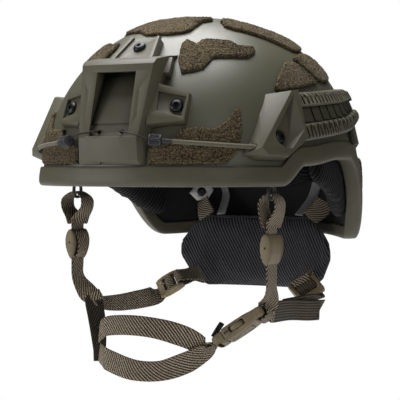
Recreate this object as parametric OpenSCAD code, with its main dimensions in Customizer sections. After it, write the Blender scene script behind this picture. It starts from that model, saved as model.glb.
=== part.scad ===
// Combat helmet with a front shroud, side rails, loop patches, pads and chin harness.
// Millimetres. +Z is up, the front faces -Y and the wearer's left is +X.
// The origin is the centre of the shell's widest section.

/* [Shell] */
// Outside width at the widest section
shell_w = 234; // [215:1:250]
// Reach of the shell forward of its centre
shell_front = 140; // [128:1:150]
// Reach of the shell behind its centre
shell_rear = 129; // [118:1:140]
// Height of the crown above the widest section
shell_h = 136; // [126:1:146]
// Wall of the shell
shell_wall = 8; // [6:0.5:10]
// Squareness of the plan outline, where 2 is an ellipse
plan_power = 2.34; // [2.1:0.02:2.6]
// Squareness of the dome, where 2 is an ellipse
dome_power = 2.12; // [2:0.02:2.3]
// How far the lobes draw in at their lower edge
skirt_in = 2.5; // [0:0.5:5]
// Height of the shell's edge along the brim
brim_z = 4; // [0:0.5:7]
// Height of the shell's edge over the ear
ear_z = 19; // [15:0.5:22]
// Further rise of the ear cut towards the back
ear_rise = 5; // [2:0.5:7]
// Height of the shell's edge under the lobes
lobe_z = -41; // [-50:0.5:-34]
// Height of the shell's edge at the nape
nape_z = -38; // [-46:0.5:-32]

/* [Edge trim] */
// Thickness of the trim outside the shell
trim_t = 3; // [2:0.1:4]
// Height of the trim's outer band above the shell's edge
trim_band = 12.5; // [9:0.5:15]
// Height of the trim's inner band above the shell's edge
trim_inner = 8; // [5:0.5:12]
// Depth of the trim's lip under the shell's edge
trim_lip = 2.5; // [1.5:0.1:3.5]

/* [Front shroud] */
// Width of the shroud's body at its front
shroud_w = 52; // [46:1:58]
// Width of the window that takes the mount's shoe
window_w = 34; // [30:0.5:38]
// Lower edge of the window, as a share of the crown's height
window_from = 0.283; // [0.27:0.001:0.3]
// Upper edge of the window, as a share of the crown's height
window_to = 0.632; // [0.6:0.001:0.64]
// Lower edge of the shroud
shroud_low = 17.7; // [17:0.1:24]
// How far the wings stand off the shell
wing_rise = 5; // [4:0.25:7]
// Thickness of the insert plate behind the window
insert_t = 2; // [1.5:0.1:3]
// Height of the raised land on it that a shoe bears on
land_t = 0.8; // [0.4:0.1:1.2]

/* [Rails] */
// How far the rails stand off the shell
rail_rise = 9; // [8:0.5:12]
// Depth of the rail's dovetail channel
rail_depth = 5.5; // [4:0.25:6.5]
// Pitch of the notches along the rails, in degrees round the shell
notch_pitch = 4.2; // [3.5:0.1:6]
// Width of a notch
notch_w = 5; // [3:0.25:6]

/* [Fasteners] */
// Radius of the screw heads
head_r = 5; // [4:0.25:6]
// Height of the screw heads
head_h = 2.8; // [2:0.1:3.5]
// Radius of the screw shanks
shank_r = 2.4; // [2:0.1:2.8]
// Radius of the barrel nuts that pass through the shell
nut_r = 3.6; // [3.2:0.1:4.2]
// Radius of the nuts' flanges inside the shell
flange_r = 6.5; // [5.5:0.25:8]

/* [Loop patches] */
// Thickness of the loop patches
patch_t = 2.6; // [1.5:0.1:3.5]

/* [Webbing] */
// Width of the harness webbing
web_w = 16.5; // [14:0.5:18]
// Thickness of the harness webbing
web_t = 1.6; // [1.2:0.1:2]
// Distance from the shell's widest section in to the front straps
strap_inset = 28.4; // [24:0.2:34]
// Distance of the front straps ahead of the centre
strap_ahead = 55.4; // [50:0.2:62]
// Height at which the front straps bend towards the junctions
bend_z = -71; // [-76:0.5:-66]
// Height of the strap junctions
junction_z = -93; // [-100:0.5:-88]

/* [Sliders and buckles] */
// Height of a strap slider
slider_h = 24; // [20:0.5:27]
// Height of the sliders' middle
slider_z = -46; // [-49:0.5:-44]
// Thickness of a slider's bars
bar_t = 2; // [1.5:0.1:2.5]
// Width of the chin buckle
buckle_w = 25; // [23:0.5:30]
// Thickness of the chin buckle
buckle_t = 8; // [7.5:0.25:10]
// Length of the buckle's socket half
socket_l = 27; // [24:0.5:32]

/* [Pads] */
// Thickness of the comfort pads
pad_t = 17; // [10:0.5:20]
// Width of the nape pad
nape_w = 146; // [130:1:156]
// Thickness of the nape pad
nape_t = 13; // [9:0.5:16]

/* [Lanyards] */
// Diameter of the elastic cord
cord_d = 3.4; // [2.5:0.1:4]
// Diameter of the knurled grip
grip_d = 8.6; // [7.5:0.1:10]

/* [Hidden] */
$fn = 48;

olive = [0.29, 0.29, 0.23];
olive_gloss = [0.35, 0.34, 0.27];
loop_tan = [0.36, 0.31, 0.22];
webbing = [0.36, 0.32, 0.26];
buckle_tan = [0.47, 0.43, 0.33];
mesh_black = [0.06, 0.06, 0.08];
screw_black = [0.05, 0.05, 0.05];

// Clearance between seated pieces of one body
seat = 0.3;
// Clearance between sliding pieces
slip = 0.4;
// Angles round the shell, 0 at the front and 180 at the nape
ear_front = [55.5, 67];
ear_back = [102, 132];
side_screw_t = 20.5;
side_screw_z = 0.434 * shell_h;
top_screw_z = 0.75 * shell_h;
rail_front_t = 54.5;
rail_front_z = 37;
rail_back_t = 120;
rail_back_z = 62;
anchor_t = 148;
anchor_z = -6;
strap_x = shell_w / 2 - strap_inset;

window_low = window_from * shell_h;
window_high = window_to * shell_h;

// Smooth step from 0 to 1
function ease(x) = let (c = max(0, min(1, x))) c * c * (3 - 2 * c);
function lerp(a, b, x) = a + (b - a) * x;
function unit(v) = v / norm(v);

// Plan radius of the shell at angle t, grown outwards by o: a superellipse
function plan_r(t, o = 0) =
    pow(pow(abs(sin(t)) / (shell_w / 2 + o), plan_power)
        + pow(abs(cos(t)) / ((cos(t) > 0 ? shell_front : shell_rear) + o), plan_power),
        -1 / plan_power);

// Share of the plan radius that is left at height z
function height_r(z, o = 0) =
    z >= 0 ? pow(1 - pow(min(z / (shell_h + o), 1), dome_power), 1 / dome_power)
    : 1 - skirt_in / (shell_w / 2) * pow(z / lobe_z, 2);

// Point of the shell's outer skin, moved outwards by o
function skin(t, z, o = 0) =
    let (r = plan_r(t, o) * height_r(z, o)) [r * sin(t), -r * cos(t), z];

// Height of latitude s, from 0 at the widest section to 90 at the crown
function lat_z(s, o = 0) = sign(s) * (shell_h + o) * pow(abs(sin(s)), 2 / dome_power);
function z_lat(z, o = 0) = sign(z) * asin(pow(abs(z) / (shell_h + o), dome_power / 2));

// Height of the shell's edge at angle t
function edge_z(t) =
    let (a = abs(t))
    brim_z + (ear_z - brim_z) * ease((a - ear_front[0]) / (ear_front[1] - ear_front[0]))
    + ear_rise * ease((a - ear_front[1]) / 25)
    - (ear_z + ear_rise - lobe_z) * ease((a - ear_back[0]) / (ear_back[1] - ear_back[0]))
    + (nape_z - lobe_z) * ease((a - ear_back[1]) / 30);

// Angles at which the shell is sampled, closer together where its edge turns
half_angles = concat([for (i = [0:7]) ear_front[0] * i / 8],
    [for (i = [0:5]) lerp(ear_front[0], ear_front[1], i / 6)],
    [for (i = [0:4]) lerp(ear_front[1], ear_back[0], i / 5)],
    [for (i = [0:9]) lerp(ear_back[0], ear_back[1], i / 10)],
    [for (i = [0:6]) lerp(ear_back[1], 180, i / 7)]);
angles = concat(half_angles, [180], [for (i = [len(half_angles) - 1:-1:1]) -half_angles[i]]);
shell_rows = 18;

// One ring of the skin, a share v of the way from the edge to the crown
function skin_ring(v, o) =
    [for (t = angles) let (s = lerp(z_lat(edge_z(t), o), 90, v)) skin(t, lat_z(s, o), o)];

// Two triangles on each cell between rings of m points, ring i to ring i + 1
function walls(n, m, closed = false) =
    [for (i = [0:n - 2 + (closed ? 1 : 0)]) for (j = [0:m - 1])
        let (a = i * m + j, b = i * m + (j + 1) % m, c = (i + 1) % n * m + (j + 1) % m,
            d = (i + 1) % n * m + j)
        each [[a, c, b], [a, d, c]]];

// Closed solid through a list of rings. A folded ring goes out and comes back by as many
// points, and its ends are closed by strips between the two ways.
module loft(rings, closed = false, folded = false) {
    n = len(rings);
    m = len(rings[0]);
    points = [for (ring = rings) for (p = ring) p];
    last = (n - 1) * m;
    strips = [for (j = [0:m / 2 - 2]) let (k = m - 1 - j)
        each [[j, j + 1, k - 1], [j, k - 1, k], [last + j + 1, last + j, last + k - 1],
            [last + k - 1, last + j, last + k]]];
    caps = closed ? [] : folded ? strips
        : [[for (j = [0:m - 1]) j], [for (j = [m - 1:-1:0]) last + j]];
    polyhedron(points, concat(walls(n, m, closed), caps), convexity = 8);
}

// Rounded route through hand-chosen points
function spline(p, i, u) =
    let (a = p[max(i - 1, 0)], b = p[i], c = p[i + 1], d = p[min(i + 2, len(p) - 1)])
    0.5 * (2 * b + (c - a) * u + (2 * a - 5 * b + 4 * c - d) * u * u
        + (3 * b - a - 3 * c + d) * u * u * u);
function route(p, n) =
    [for (k = [0:n]) let (x = k / n * (len(p) - 1), i = min(floor(x), len(p) - 2))
        spline(p, i, x - i)];
function heading(p, i) = unit(p[min(i + 1, len(p) - 1)] - p[max(i - 1, 0)]);

// Strip of webbing along a route, with its width direction given at each chosen point.
// slant is how far one edge runs ahead of the other at the start and at the end.
module ribbon(points, widths, w = web_w, t = web_t, n = 20, slant = [0, 0]) {
    path = route(points, n);
    turn = route(widths, n);
    loft([for (i = [0:n])
        let (d = heading(path, i), u = unit(turn[i] - (turn[i] * d) * d), v = cross(d, u),
            k = i == 0 ? slant[0] : i == n ? slant[1] : 0, side = u * w / 2 + d * k / 2)
        [path[i] - side - v * t / 2, path[i] + side - v * t / 2,
            path[i] + side + v * t / 2, path[i] - side + v * t / 2]]);
}

// Round tube along a route
module tube(points, d, sides = 8, n = 20) {
    path = route(points, n);
    loft([for (i = [0:n])
        let (h = heading(path, i), u = unit(cross(h, [0, 0, 1])), v = cross(h, u))
        [for (k = [0:sides - 1]) path[i] + d / 2 * (u * cos(k * 360 / sides) + v * sin(k * 360 / sides))]]);
}

// Straight-sided block between two outlines with as many points, both drawn anticlockwise
module prismoid(low, high, z0, z1) {
    loft([[for (p = low) [p[0], p[1], z0]], [for (p = high) [p[0], p[1], z1]]]);
}

// Direction that the skin faces: round the shell, and upwards
function yaw(t) =
    atan2(sign(sin(t)) * pow(abs(sin(t)), plan_power - 1) / pow(shell_w / 2, plan_power),
        sign(cos(t)) * pow(abs(cos(t)), plan_power - 1)
            / pow(cos(t) > 0 ? shell_front : shell_rear, plan_power));
function pitch(t, z) =
    z <= 0 ? 0 : atan2(pow(z / shell_h, dome_power - 1) / shell_h,
        pow(height_r(z), dome_power - 1) / plan_r(t));

// Places children on the skin: X round the shell, Y up it and Z straight out
module on_skin(t, z, o = 0) {
    translate(skin(t, z, o)) rotate([0, 0, yaw(t)]) rotate([90 - pitch(t, z), 0, 0]) children();
}

// Solid between two offsets of the skin over a span of angles and heights
module slab(t0, t1, z0, z1, o0, o1, nt, nz) {
    loft([for (i = [0:nt]) let (t = lerp(t0, t1, i / nt))
        concat([for (k = [0:nz]) skin(t, lerp(z0, z1, k / nz), o0)],
            [for (k = [nz:-1:0]) skin(t, lerp(z0, z1, k / nz), o1)])]);
}

module mirrored(side) {
    mirror([side < 0 ? 1 : 0, 0, 0]) children();
}

// Fasteners: angle, height, and height of the head's seat above the skin
wing_floor = wing_rise - 2.5;
rail_floor = rail_rise - 6;
screws = [[side_screw_t, side_screw_z, wing_floor], [-side_screw_t, side_screw_z, wing_floor],
    [0, top_screw_z, wing_rise], [rail_front_t, rail_front_z, rail_floor],
    [-rail_front_t, rail_front_z, rail_floor], [rail_back_t, rail_back_z, rail_floor],
    [-rail_back_t, rail_back_z, rail_floor]];

module shell() {
    m = len(angles);
    n = shell_rows;
    rings = concat([for (i = [n - 1:-1:0]) skin_ring(i / n, -shell_wall)],
        [for (i = [0:n - 1]) skin_ring(i / n, 0)]);
    points = concat([for (ring = rings) for (p = ring) p],
        [[0, 0, shell_h - shell_wall], [0, 0, shell_h]]);
    top = 2 * n * m;
    inside = [for (j = [0:m - 1]) [top, j, (j + 1) % m]];
    crown = [for (j = [0:m - 1]) [top + 1, (2 * n - 1) * m + (j + 1) % m, (2 * n - 1) * m + j]];
    color(olive) difference() {
        polyhedron(points, concat(walls(2 * n, m), crown, inside), convexity = 10);
        for (s = screws) on_skin(s[0], s[1])
            translate([0, 0, -2 * shell_wall]) cylinder(r = nut_r + 0.15, h = 4 * shell_wall);
        for (side = [-1, 1]) on_skin(side * anchor_t, anchor_z, -shell_wall)
            translate([0, 0, -shell_wall]) cylinder(r = shank_r + 0.2, h = 1.8 * shell_wall);
    }
}

// Point b up the shell from its edge at sample i, on the skin grown by o
function edge_point(i, b, o) =
    let (m = len(angles), t = angles[i], before = angles[(i + m - 1) % m], after = angles[(i + 1) % m],
        span = (after - before + 720) % 360, r = plan_r(t), dw = r * span * PI / 180,
        dz = 0.75 * (edge_z(after) - edge_z(before)), l = norm([dw, dz]))
    skin(t - dz / l * b / r * 180 / PI, edge_z(t) + dw / l * b, o);

module edge_trim() {
    in = -shell_wall;
    profile = [[seat, trim_band], [trim_t - 0.6, trim_band], [trim_t, trim_band - 0.8],
        [trim_t, 0.5], [trim_t * 0.6, -trim_lip + 0.3], [in / 2, -trim_lip - 0.1],
        [in - 1.2, -trim_lip + 0.3], [in - 2, 0.5], [in - 2, trim_inner], [in - seat, trim_inner],
        [in - seat, -seat], [seat, -seat]];
    color(olive_gloss)
        loft([for (i = [0:len(angles) - 1]) [for (p = profile) edge_point(i, p[1], p[0])]], true);
}

// Shroud: heights and depths of its side view
front_low = -shell_front - 4.5;
front_high = -shell_front + 8.5;
plate_low = -plan_r(0) * height_r(window_low);
plate_high = -plan_r(0) * height_r(window_high);
plate_gap = 3.4;
plate_lean = atan2(plate_high - plate_low, window_high - window_low);
plate_depth = insert_t / cos(plate_lean) + seat;
land_from = 9;
wing_back = [[-21, -17], [9, -15.5], [11, 12.5], [-20.5, 21]];
wing_face = [[-21, -15.5], [6.5, -12.5], [9, 9.5], [-20.5, 20]];
wing_pocket = [[-14, -4.6], [4.4, -9.4], [7.2, 6.6], [-13.5, 11]];
lug_back = [[-21, -19], [21, -19], [14, 13], [-14, 13]];
lug_face = [[-19.5, -19], [19.5, -19], [13, 11], [-13, 11]];

module side_extrude(w) {
    translate([-w / 2, 0, 0]) rotate([90, 0, 90]) linear_extrude(w) children();
}

module shroud_body() {
    half = shroud_w / 2;
    intersection() {
        side_extrude(shroud_w + 12) polygon([[front_low + 28, shroud_low], [front_low + 3.5, shroud_low],
            [front_low + 1, shroud_low + 3], [front_low, window_low - 1.5],
            [front_low + 1.2, window_low + 0.5], [front_high, window_high + 1],
            [front_high + 1, window_high + 5.5], [front_high + 5, window_high + 9],
            [front_high + 22, window_high + 12], [front_high + 45, window_high + 14],
            [front_high + 45, window_high - 20]]);
        linear_extrude(window_high + 20) polygon([[-half - 5.5, front_low + 50],
            [-half - 5.5, front_low + 15], [-half - 1.5, front_low + 5], [-half + 1.5, front_low - 1],
            [half - 1.5, front_low - 1], [half + 1.5, front_low + 5],
            [half + 5.5, front_low + 15], [half + 5.5, front_low + 50]]);
    }
}

module shroud_wing() {
    on_skin(side_screw_t, side_screw_z) difference() {
        prismoid(wing_back, wing_face, -7, wing_rise);
        translate([0, 0, wing_floor]) linear_extrude(wing_rise) polygon(wing_pocket);
    }
}

module shroud_lug() {
    on_skin(0, top_screw_z) {
        prismoid(lug_back, lug_face, -8, wing_rise);
        for (side = [-1, 1]) mirrored(side)
            prismoid([[15.5, -19], [20, -19], [13, 13], [9.5, 12]],
                [[16, -19], [19.5, -19], [12.6, 12], [10, 11]], wing_rise - 1, wing_rise + 1.8);
    }
}

module shroud_frame() {
    groove = 2.4;
    color(olive_gloss) difference() {
        union() {
            shroud_body();
            for (side = [-1, 1]) mirrored(side) {
                shroud_wing();
                on_skin(15.6, window_high) translate([-5, -7, -8]) cube([8.5, 15, 8 + wing_rise + 2.5]);
            }
            shroud_lug();
        }
        // Window, and the wider rebate behind it that holds the insert
        side_extrude(window_w) polygon([[front_low - 20, window_low], [plate_low + 20, window_low],
            [plate_high + 20, window_high], [front_low - 20, window_high]]);
        side_extrude(window_w + 4 + 2 * seat) polygon([[plate_low - plate_gap - plate_depth - 0.8, window_low - 1.5],
            [plate_low + 20, window_low - 1.5], [plate_high + 20, window_high + 2.2],
            [plate_high - plate_gap - plate_depth + 0.8, window_high + 2.2]]);
        // Channels in the window's sides for the shoe's edges
        side_extrude(window_w + 2 * groove) polygon([
            [plate_low - plate_gap - plate_depth + 1, window_low + 8],
            [plate_low - plate_gap - plate_depth + 4, window_low + 8],
            [plate_high - plate_gap - plate_depth, window_high],
            [plate_high - plate_gap - plate_depth - 4.5, window_high]]);
        // Slots that let the mount's hooks in from the sides
        for (side = [-1, 1]) translate([side * (shroud_w / 2 - 3.6), front_low - 4, window_low + 17])
            rotate([-14, 0, 0]) translate([-1.2, 0, 0]) cube([2.4, 9, 20]);
        for (side = [-1, 1]) mirrored(side) on_skin(side_screw_t, side_screw_z)
            cylinder(r = shank_r + 0.3, h = 4 * wing_rise, center = true);
        on_skin(0, top_screw_z) cylinder(r = shank_r + 0.3, h = 4 * wing_rise, center = true);
        // Notch under the lip
        translate([-8, front_low - 2, shroud_low - 1]) cube([4, 6, 2.6]);
        slab(-34, 34, 6, window_high + 44, -40, 0.5, 17, 20);
    }
}

// Plate behind the window; its raised land clears the window's edges and the hooks' holes
module shroud_insert() {
    length = norm([plate_high - plate_low, window_high - window_low]);
    color(olive_gloss) difference() {
        translate([0, plate_low - plate_gap, window_low]) rotate([-plate_lean, 0, 0]) {
            translate([-window_w / 2 - 2, -insert_t, -1]) cube([window_w + 4, insert_t, length + 2]);
            translate([-window_w / 2 + 2 * seat, -insert_t - land_t, land_from])
                cube([window_w - 4 * seat, insert_t + land_t, length - 14]);
        }
        for (side = [-1, 1]) translate([side * hook_x, 0, hook_z]) rotate([90, 0, 0])
            cylinder(r = 1.6, h = shell_front + 20);
    }
}

// Rail: profile as distance off the skin and share of the rail's height
function rail_low(t) = t < 100 ? lerp(34, 43.5, (t - 63.5) / 36.5) : lerp(43.5, 49.5, (t - 100) / 10);
function rail_high(t) = lerp(71, 79, (t - 62) / 55);
rail_from = 62;
rail_to = 116;
rail_steps = 12;

module rail_track() {
    floor_o = rail_rise - rail_depth;
    profile = [[-6, 0], [-6, 1], [rail_rise - 3, 1], [rail_rise, 0.92], [rail_rise, 0.73],
        [rail_rise - 1.4, 0.7], [floor_o, 0.76], [floor_o, 0.3], [rail_rise - 1.4, 0.36],
        [rail_rise, 0.33], [rail_rise, 0.1], [rail_rise - 2, 0.02]];
    loft([for (i = [0:rail_steps]) let (u = i / rail_steps)
        [for (p = profile) let (t = lerp(rail_from, rail_to, u) - 7 * u * (p[1] - 0.9))
            skin(t, lerp(rail_low(t), rail_high(t), p[1]), p[0])]]);
}

wing_low = [[-33, -12], [-23.5, -17], [2, -18.5], [23.5, -4.5], [20, 37.5], [-5.5, 34.5]];
wing_high = [[-22.5, -9], [-17, -14.5], [2, -15.5], [23.5, -1.5], [20, 35.5], [13.5, 34.5]];
pocket_high = [[-1, -9], [6.5, -9.5], [21, 5.5], [15.5, 32], [-7.5, 3]];
pocket_low = [[-1, -8], [5, -7.5], [10, 2], [11.5, 24], [-6.5, 2.5]];

module rail() {
    color(olive_gloss) difference() {
        union() {
            rail_track();
            on_skin(rail_front_t, rail_front_z) prismoid(wing_low, wing_high, -7, rail_rise);
            on_skin(rail_back_t, rail_back_z) translate([-12, -10, -5]) cube([20, 20, 5 + rail_rise - 3]);
            // Small bracket under the rail's back end
            on_skin(110, 40) translate([-3, -7, -2]) cube([8, 19, 2 + 5]);
        }
        on_skin(rail_front_t, rail_front_z) {
            prismoid(pocket_low, pocket_high, rail_floor, rail_rise + 0.01);
            translate([0, 0, rail_floor]) cylinder(r = head_r + 3, h = 3 * rail_rise);
            cylinder(r = shank_r + 0.3, h = 4 * rail_rise, center = true);
        }
        on_skin(rail_back_t, rail_back_z) {
            translate([0, 0, rail_floor]) cylinder(r = head_r + 1, h = 3 * rail_rise);
            cylinder(r = shank_r + 0.3, h = 4 * rail_rise, center = true);
        }
        // Hole for the lanyard's cord
        along(on_route(cord_route[4]), on_route(cord_route[5]))
            translate([0, 0, -4]) cylinder(r = cord_d / 2 + 0.6, h = 20);
        // Notches along both strips
        for (t = [rail_from + 6:notch_pitch:rail_to - 3]) {
            on_skin(t, lerp(rail_low(t), rail_high(t), 0.85)) translate([0, 0, rail_rise])
                cube([notch_w / 2, 4.2, 3], center = true);
            on_skin(t, lerp(rail_low(t), rail_high(t), 0.21)) translate([0, 0, rail_rise])
                cube([notch_w / 2, 6, 3], center = true);
        }
        slab(34, 132, 8, 86, -60, 0.5, 24, 14);
    }
}

module button_screw(seat_z) {
    translate([0, 0, seat_z + 0.05]) difference() {
        union() {
            rotate_extrude() polygon(concat([[0, 0], [head_r, 0], [head_r, head_h * 0.35]],
                [for (a = [20:10:80]) [head_r * 0.98 * cos(a), head_h * (0.35 + 0.65 * sin(a))]],
                [[0, head_h]]));
            translate([0, 0, -seat_z - shell_wall * 0.75])
                cylinder(r = shank_r, h = seat_z + shell_wall * 0.75 + 0.1);
        }
        translate([0, 0, head_h - 1.8]) cylinder(r = head_r * 0.4, h = 3, $fn = 6);
    }
}

module button_screws() {
    color(screw_black) {
        for (s = screws) on_skin(s[0], s[1]) button_screw(s[2]);
        for (side = [-1, 1]) on_skin(side * anchor_t, anchor_z, -shell_wall)
            translate([0, 0, -anchor_plate_t - 1.6]) mirror([0, 0, 1]) {
                cylinder(r = head_r * 0.8, h = 2);
                translate([0, 0, -shell_wall]) cylinder(r = shank_r, h = shell_wall + 0.1);
            }
    }
}

// The nuts behind the rails' front screws also clamp the hangers
module barrel_nuts() {
    color(screw_black) for (s = screws) on_skin(s[0], s[1]) {
        drop = abs(s[0]) == rail_front_t ? hanger_t + 1.2 : 0;
        difference() {
            union() {
                translate([0, 0, -shell_wall - 1.5 - drop]) cylinder(r = nut_r, h = shell_wall + 1.3 + drop);
                translate([0, 0, -shell_wall - 2.6 - drop]) cylinder(r = flange_r, h = 1.6);
            }
            translate([0, 0, -2 * shell_wall]) cylinder(r = shank_r + 0.05, h = 4 * shell_wall);
        }
    }
}

// Patch of loop pile: stations of angle, lower latitude and upper latitude
module patch(stations, rows = 4, step = 4.5) {
    cuts = [for (i = [0:len(stations) - 2])
        let (a = stations[i], b = stations[i + 1], n = max(1, ceil((b[0] - a[0]) / step)))
        for (k = [0:n - 1]) lerp(a, b, k / n)];
    line = concat(cuts, [stations[len(stations) - 1]]);
    low = seat;
    high = seat + patch_t;
    color(loop_tan) loft([for (c = line) concat(
        [for (k = [0:rows]) let (s = lerp(c[1], c[2], k / rows)) skin(c[0], lat_z(s, low), low)],
        [for (k = [rows:-1:0]) let (s = lerp(c[1], c[2], k / rows)) skin(c[0], lat_z(s, high), high)])]);
}

crown_front = [[-42, 62.5, 66], [-34, 61, 71], [-25, 61.3, 74], [-16, 61, 73], [-6.5, 58, 75],
    [8.5, 57.8, 76], [16, 58.6, 75], [20, 60, 74.2], [27, 69, 74.6], [36, 71.5, 74]];
crown_side = [[43.5, 64.5, 70], [49, 62, 74], [57, 60.5, 73], [65, 58.5, 70.5], [73, 56.5, 69],
    [82, 53.5, 66.5], [92, 50.5, 64], [100, 50.5, 62], [108, 51.5, 60], [114, 53, 57]];
upper_side = [[18.6, 43, 50.3], [19.6, 40.5, 52.3], [20.7, 37.2, 53.7], [25.5, 38.3, 51],
    [29, 39.2, 53.8], [33, 44.3, 53.8], [42.5, 44.7, 53], [45.5, 44.6, 50.3], [50, 44.9, 50.3],
    [54.5, 47.7, 50]];
// Its lower edge runs along the rail, further off towards the back
function ear_low(t) = z_lat(rail_high(t)) + lerp(0.8, 2.7, (t - 62) / 30);
ear_patch = [for (c = [[58, 1.4], [62, 5.7], [66, 8.4], [70.5, 10.8], [76, 11.1], [80.5, 10.1], [87, 4.5],
    [92, 0.6]]) [c[0], ear_low(c[0]), ear_low(c[0]) + c[1]]];
behind_ear = [[84, 43.6, 46], [89, 40.3, 47.3], [95, 36.3, 48.6], [101, 35.9, 49.2],
    [107, 36.2, 49.2], [112, 37.5, 47.5], [117, 40, 45.8]];
lower_side = [[12.5, 6.8, 11], [17, 6.7, 13], [21, 6.7, 14.5], [22.5, 6.7, 17.6], [29, 6.7, 17.7],
    [32.5, 6.7, 17.1], [36, 6.8, 19.5], [38, 8.4, 21.5], [39.6, 10, 23.4], [41.5, 16, 24]];
rear_small = [[126, 13.2, 18], [130, 12.5, 19], [136, 12.5, 19], [141, 14, 18]];
rear_large = [[124.5, 1.5, 7.5], [128, -2.5, 8.6], [132, -6.3, 9], [140, -6.5, 9.2],
    [148, -5, 9], [154, -3, 7]];

// Lanyards: angle, height and distance off the skin along each route
cord_route = [[20.3, 34.3, 6.2], [24, 33.6, 5.4], [30, 32.6, 5.3], [36, 31.6, 5.3],
    [41, 30.9, 5], [46, 30.4, 4.8]];
function on_route(p) = skin(p[0], p[1], p[2]);
grip_from = skin(13.6, 35.5, 9.4);
grip_to = skin(17.2, 34.8, 7.6);
hook_x = 10;
hook_z = 41.5;

// Places children at p with their Z axis along the line from p to q
module along(p, q) {
    d = q - p;
    translate(p) rotate([0, acos(d[2] / norm(d)), atan2(d[1], d[0])]) children();
}

module bungee() {
    color(olive) tube([for (p = cord_route) on_route(p)], cord_d);
}

module ferrule() {
    start = on_route(cord_route[0]);
    dir = unit(grip_to - start);
    color([0.55, 0.54, 0.5]) along(start, start + dir)
        translate([0, 0, seat]) cylinder(r = cord_d / 2 - 0.1, h = norm(grip_to - start) - 2 * seat - 0.3);
}

// Grip with straight knurls between two plain collars
module lanyard_grip() {
    length = norm(grip_to - grip_from);
    knurls = 22;
    collar = 1;
    color([0.16, 0.15, 0.18]) along(grip_from, grip_to) {
        for (z = [0, length - collar]) translate([0, 0, z]) cylinder(r = grip_d / 2, h = collar);
        translate([0, 0, collar / 2]) linear_extrude(length - collar)
            polygon([for (k = [0:2 * knurls - 1]) let (r = grip_d / 2 - 0.15 - 0.5 * (k % 2))
                [r * cos(k * 180 / knurls), r * sin(k * 180 / knurls)]]);
    }
}

module wire_hook() {
    color([0.7, 0.68, 0.6]) tube([[hook_x, plate_low - plate_gap - 0.5, hook_z],
        [hook_x + 0.3, front_low + 1, hook_z + 0.3], [hook_x + 3, front_low - 1, hook_z + 0.2],
        [23, front_low - 2.6, hook_z - 1.5], [29, front_low - 1.6, hook_z - 3.5],
        grip_from + [-0.2, -0.05, 0]], 1, 8, 16);
}

// Front harness
strap_y = -strap_ahead;
ring_z = -3;
hanger_t = 1.6;

module hanger() {
    foot = skin(rail_front_t, 23, -shell_wall - hanger_t - 1.6);
    color(screw_black) {
        on_skin(rail_front_t, rail_front_z) difference() {
            translate([-8, -16, -shell_wall - 1.9 - hanger_t]) cube([16, 24, hanger_t]);
            translate([0, 0, -3 * shell_wall]) cylinder(r = nut_r + 0.15, h = 6 * shell_wall);
        }
        ribbon([foot, foot + [-1.5, 3, -7], [strap_x + 1.5, strap_y - 2, 9], [strap_x, strap_y, ring_z + 4]],
            [[0.5, 0.85, 0], [0.4, 0.9, 0], [0.1, 1, 0], [0, 1, 0]], 13, 2, 8);
        translate([strap_x, strap_y, ring_z]) difference() {
            cube([3.4, web_w + 7, 13], center = true);
            translate([0, 0, -1]) cube([6, web_w + 2 * slip, 5.6], center = true);
        }
    }
}

// Webbing passed through the hanger's slot and brought together above the slider
module hanger_loop() {
    x = strap_x;
    y = strap_y;
    color(webbing) ribbon([[x - 1, y, -27.5], [x - 3, y, -24], [x - 9.5, y, -17], [x - 9.5, y, -9],
            [x - 4, y, -4.4], [x, y, -3.6], [x + 4, y, -4.4], [x + 9.5, y, -9], [x + 9.5, y, -17],
            [x + 3, y, -24], [x + 1, y, -27.5]],
        [[0.15, 1, 0], [0.2, 1, 0], [-0.25, 1, 0], [-0.2, 1, 0], [0, 1, 0], [0, 1, 0], [0, 1, 0],
            [0.2, 1, 0], [0.25, 1, 0], [-0.2, 1, 0], [-0.15, 1, 0]], web_w, web_t, 26);
}

module strap_slider() {
    half = web_w / 2 + slip;
    gap = web_t / 2 + slip;
    color(buckle_tan) translate([strap_x, strap_y, slider_z]) {
        for (side = [-1, 1]) translate([-gap - bar_t, side > 0 ? half : -half - 2.6, -slider_h / 2])
            cube([2 * (gap + bar_t), 2.6, slider_h]);
        for (k = [-1, 1]) translate([gap, -half - 1, k * (slider_h / 2 - 2.5) - 2.5])
            cube([bar_t, 2 * half + 2, 5]);
        translate([-gap - bar_t, -half - 1, -3.5]) cube([bar_t, 2 * half + 2, 7]);
    }
}

junction = [strap_x - 10, strap_y + 11.4, junction_z];

module front_strap() {
    color(webbing) ribbon([[strap_x, strap_y, -28.5], [strap_x, strap_y, -45], [strap_x, strap_y, -60],
            [strap_x, strap_y, bend_z], [strap_x - 2.2, strap_y + 3, lerp(bend_z, junction_z, 0.45)],
            junction + [1, -0.8, 10.6]],
        [[0, 1, 0], [0, 1, 0], [0, 1, 0], [0, 1, 0], [0.2, 0.9, 0], [0.5, 0.8, 0]], web_w, web_t, 18);
}

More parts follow.
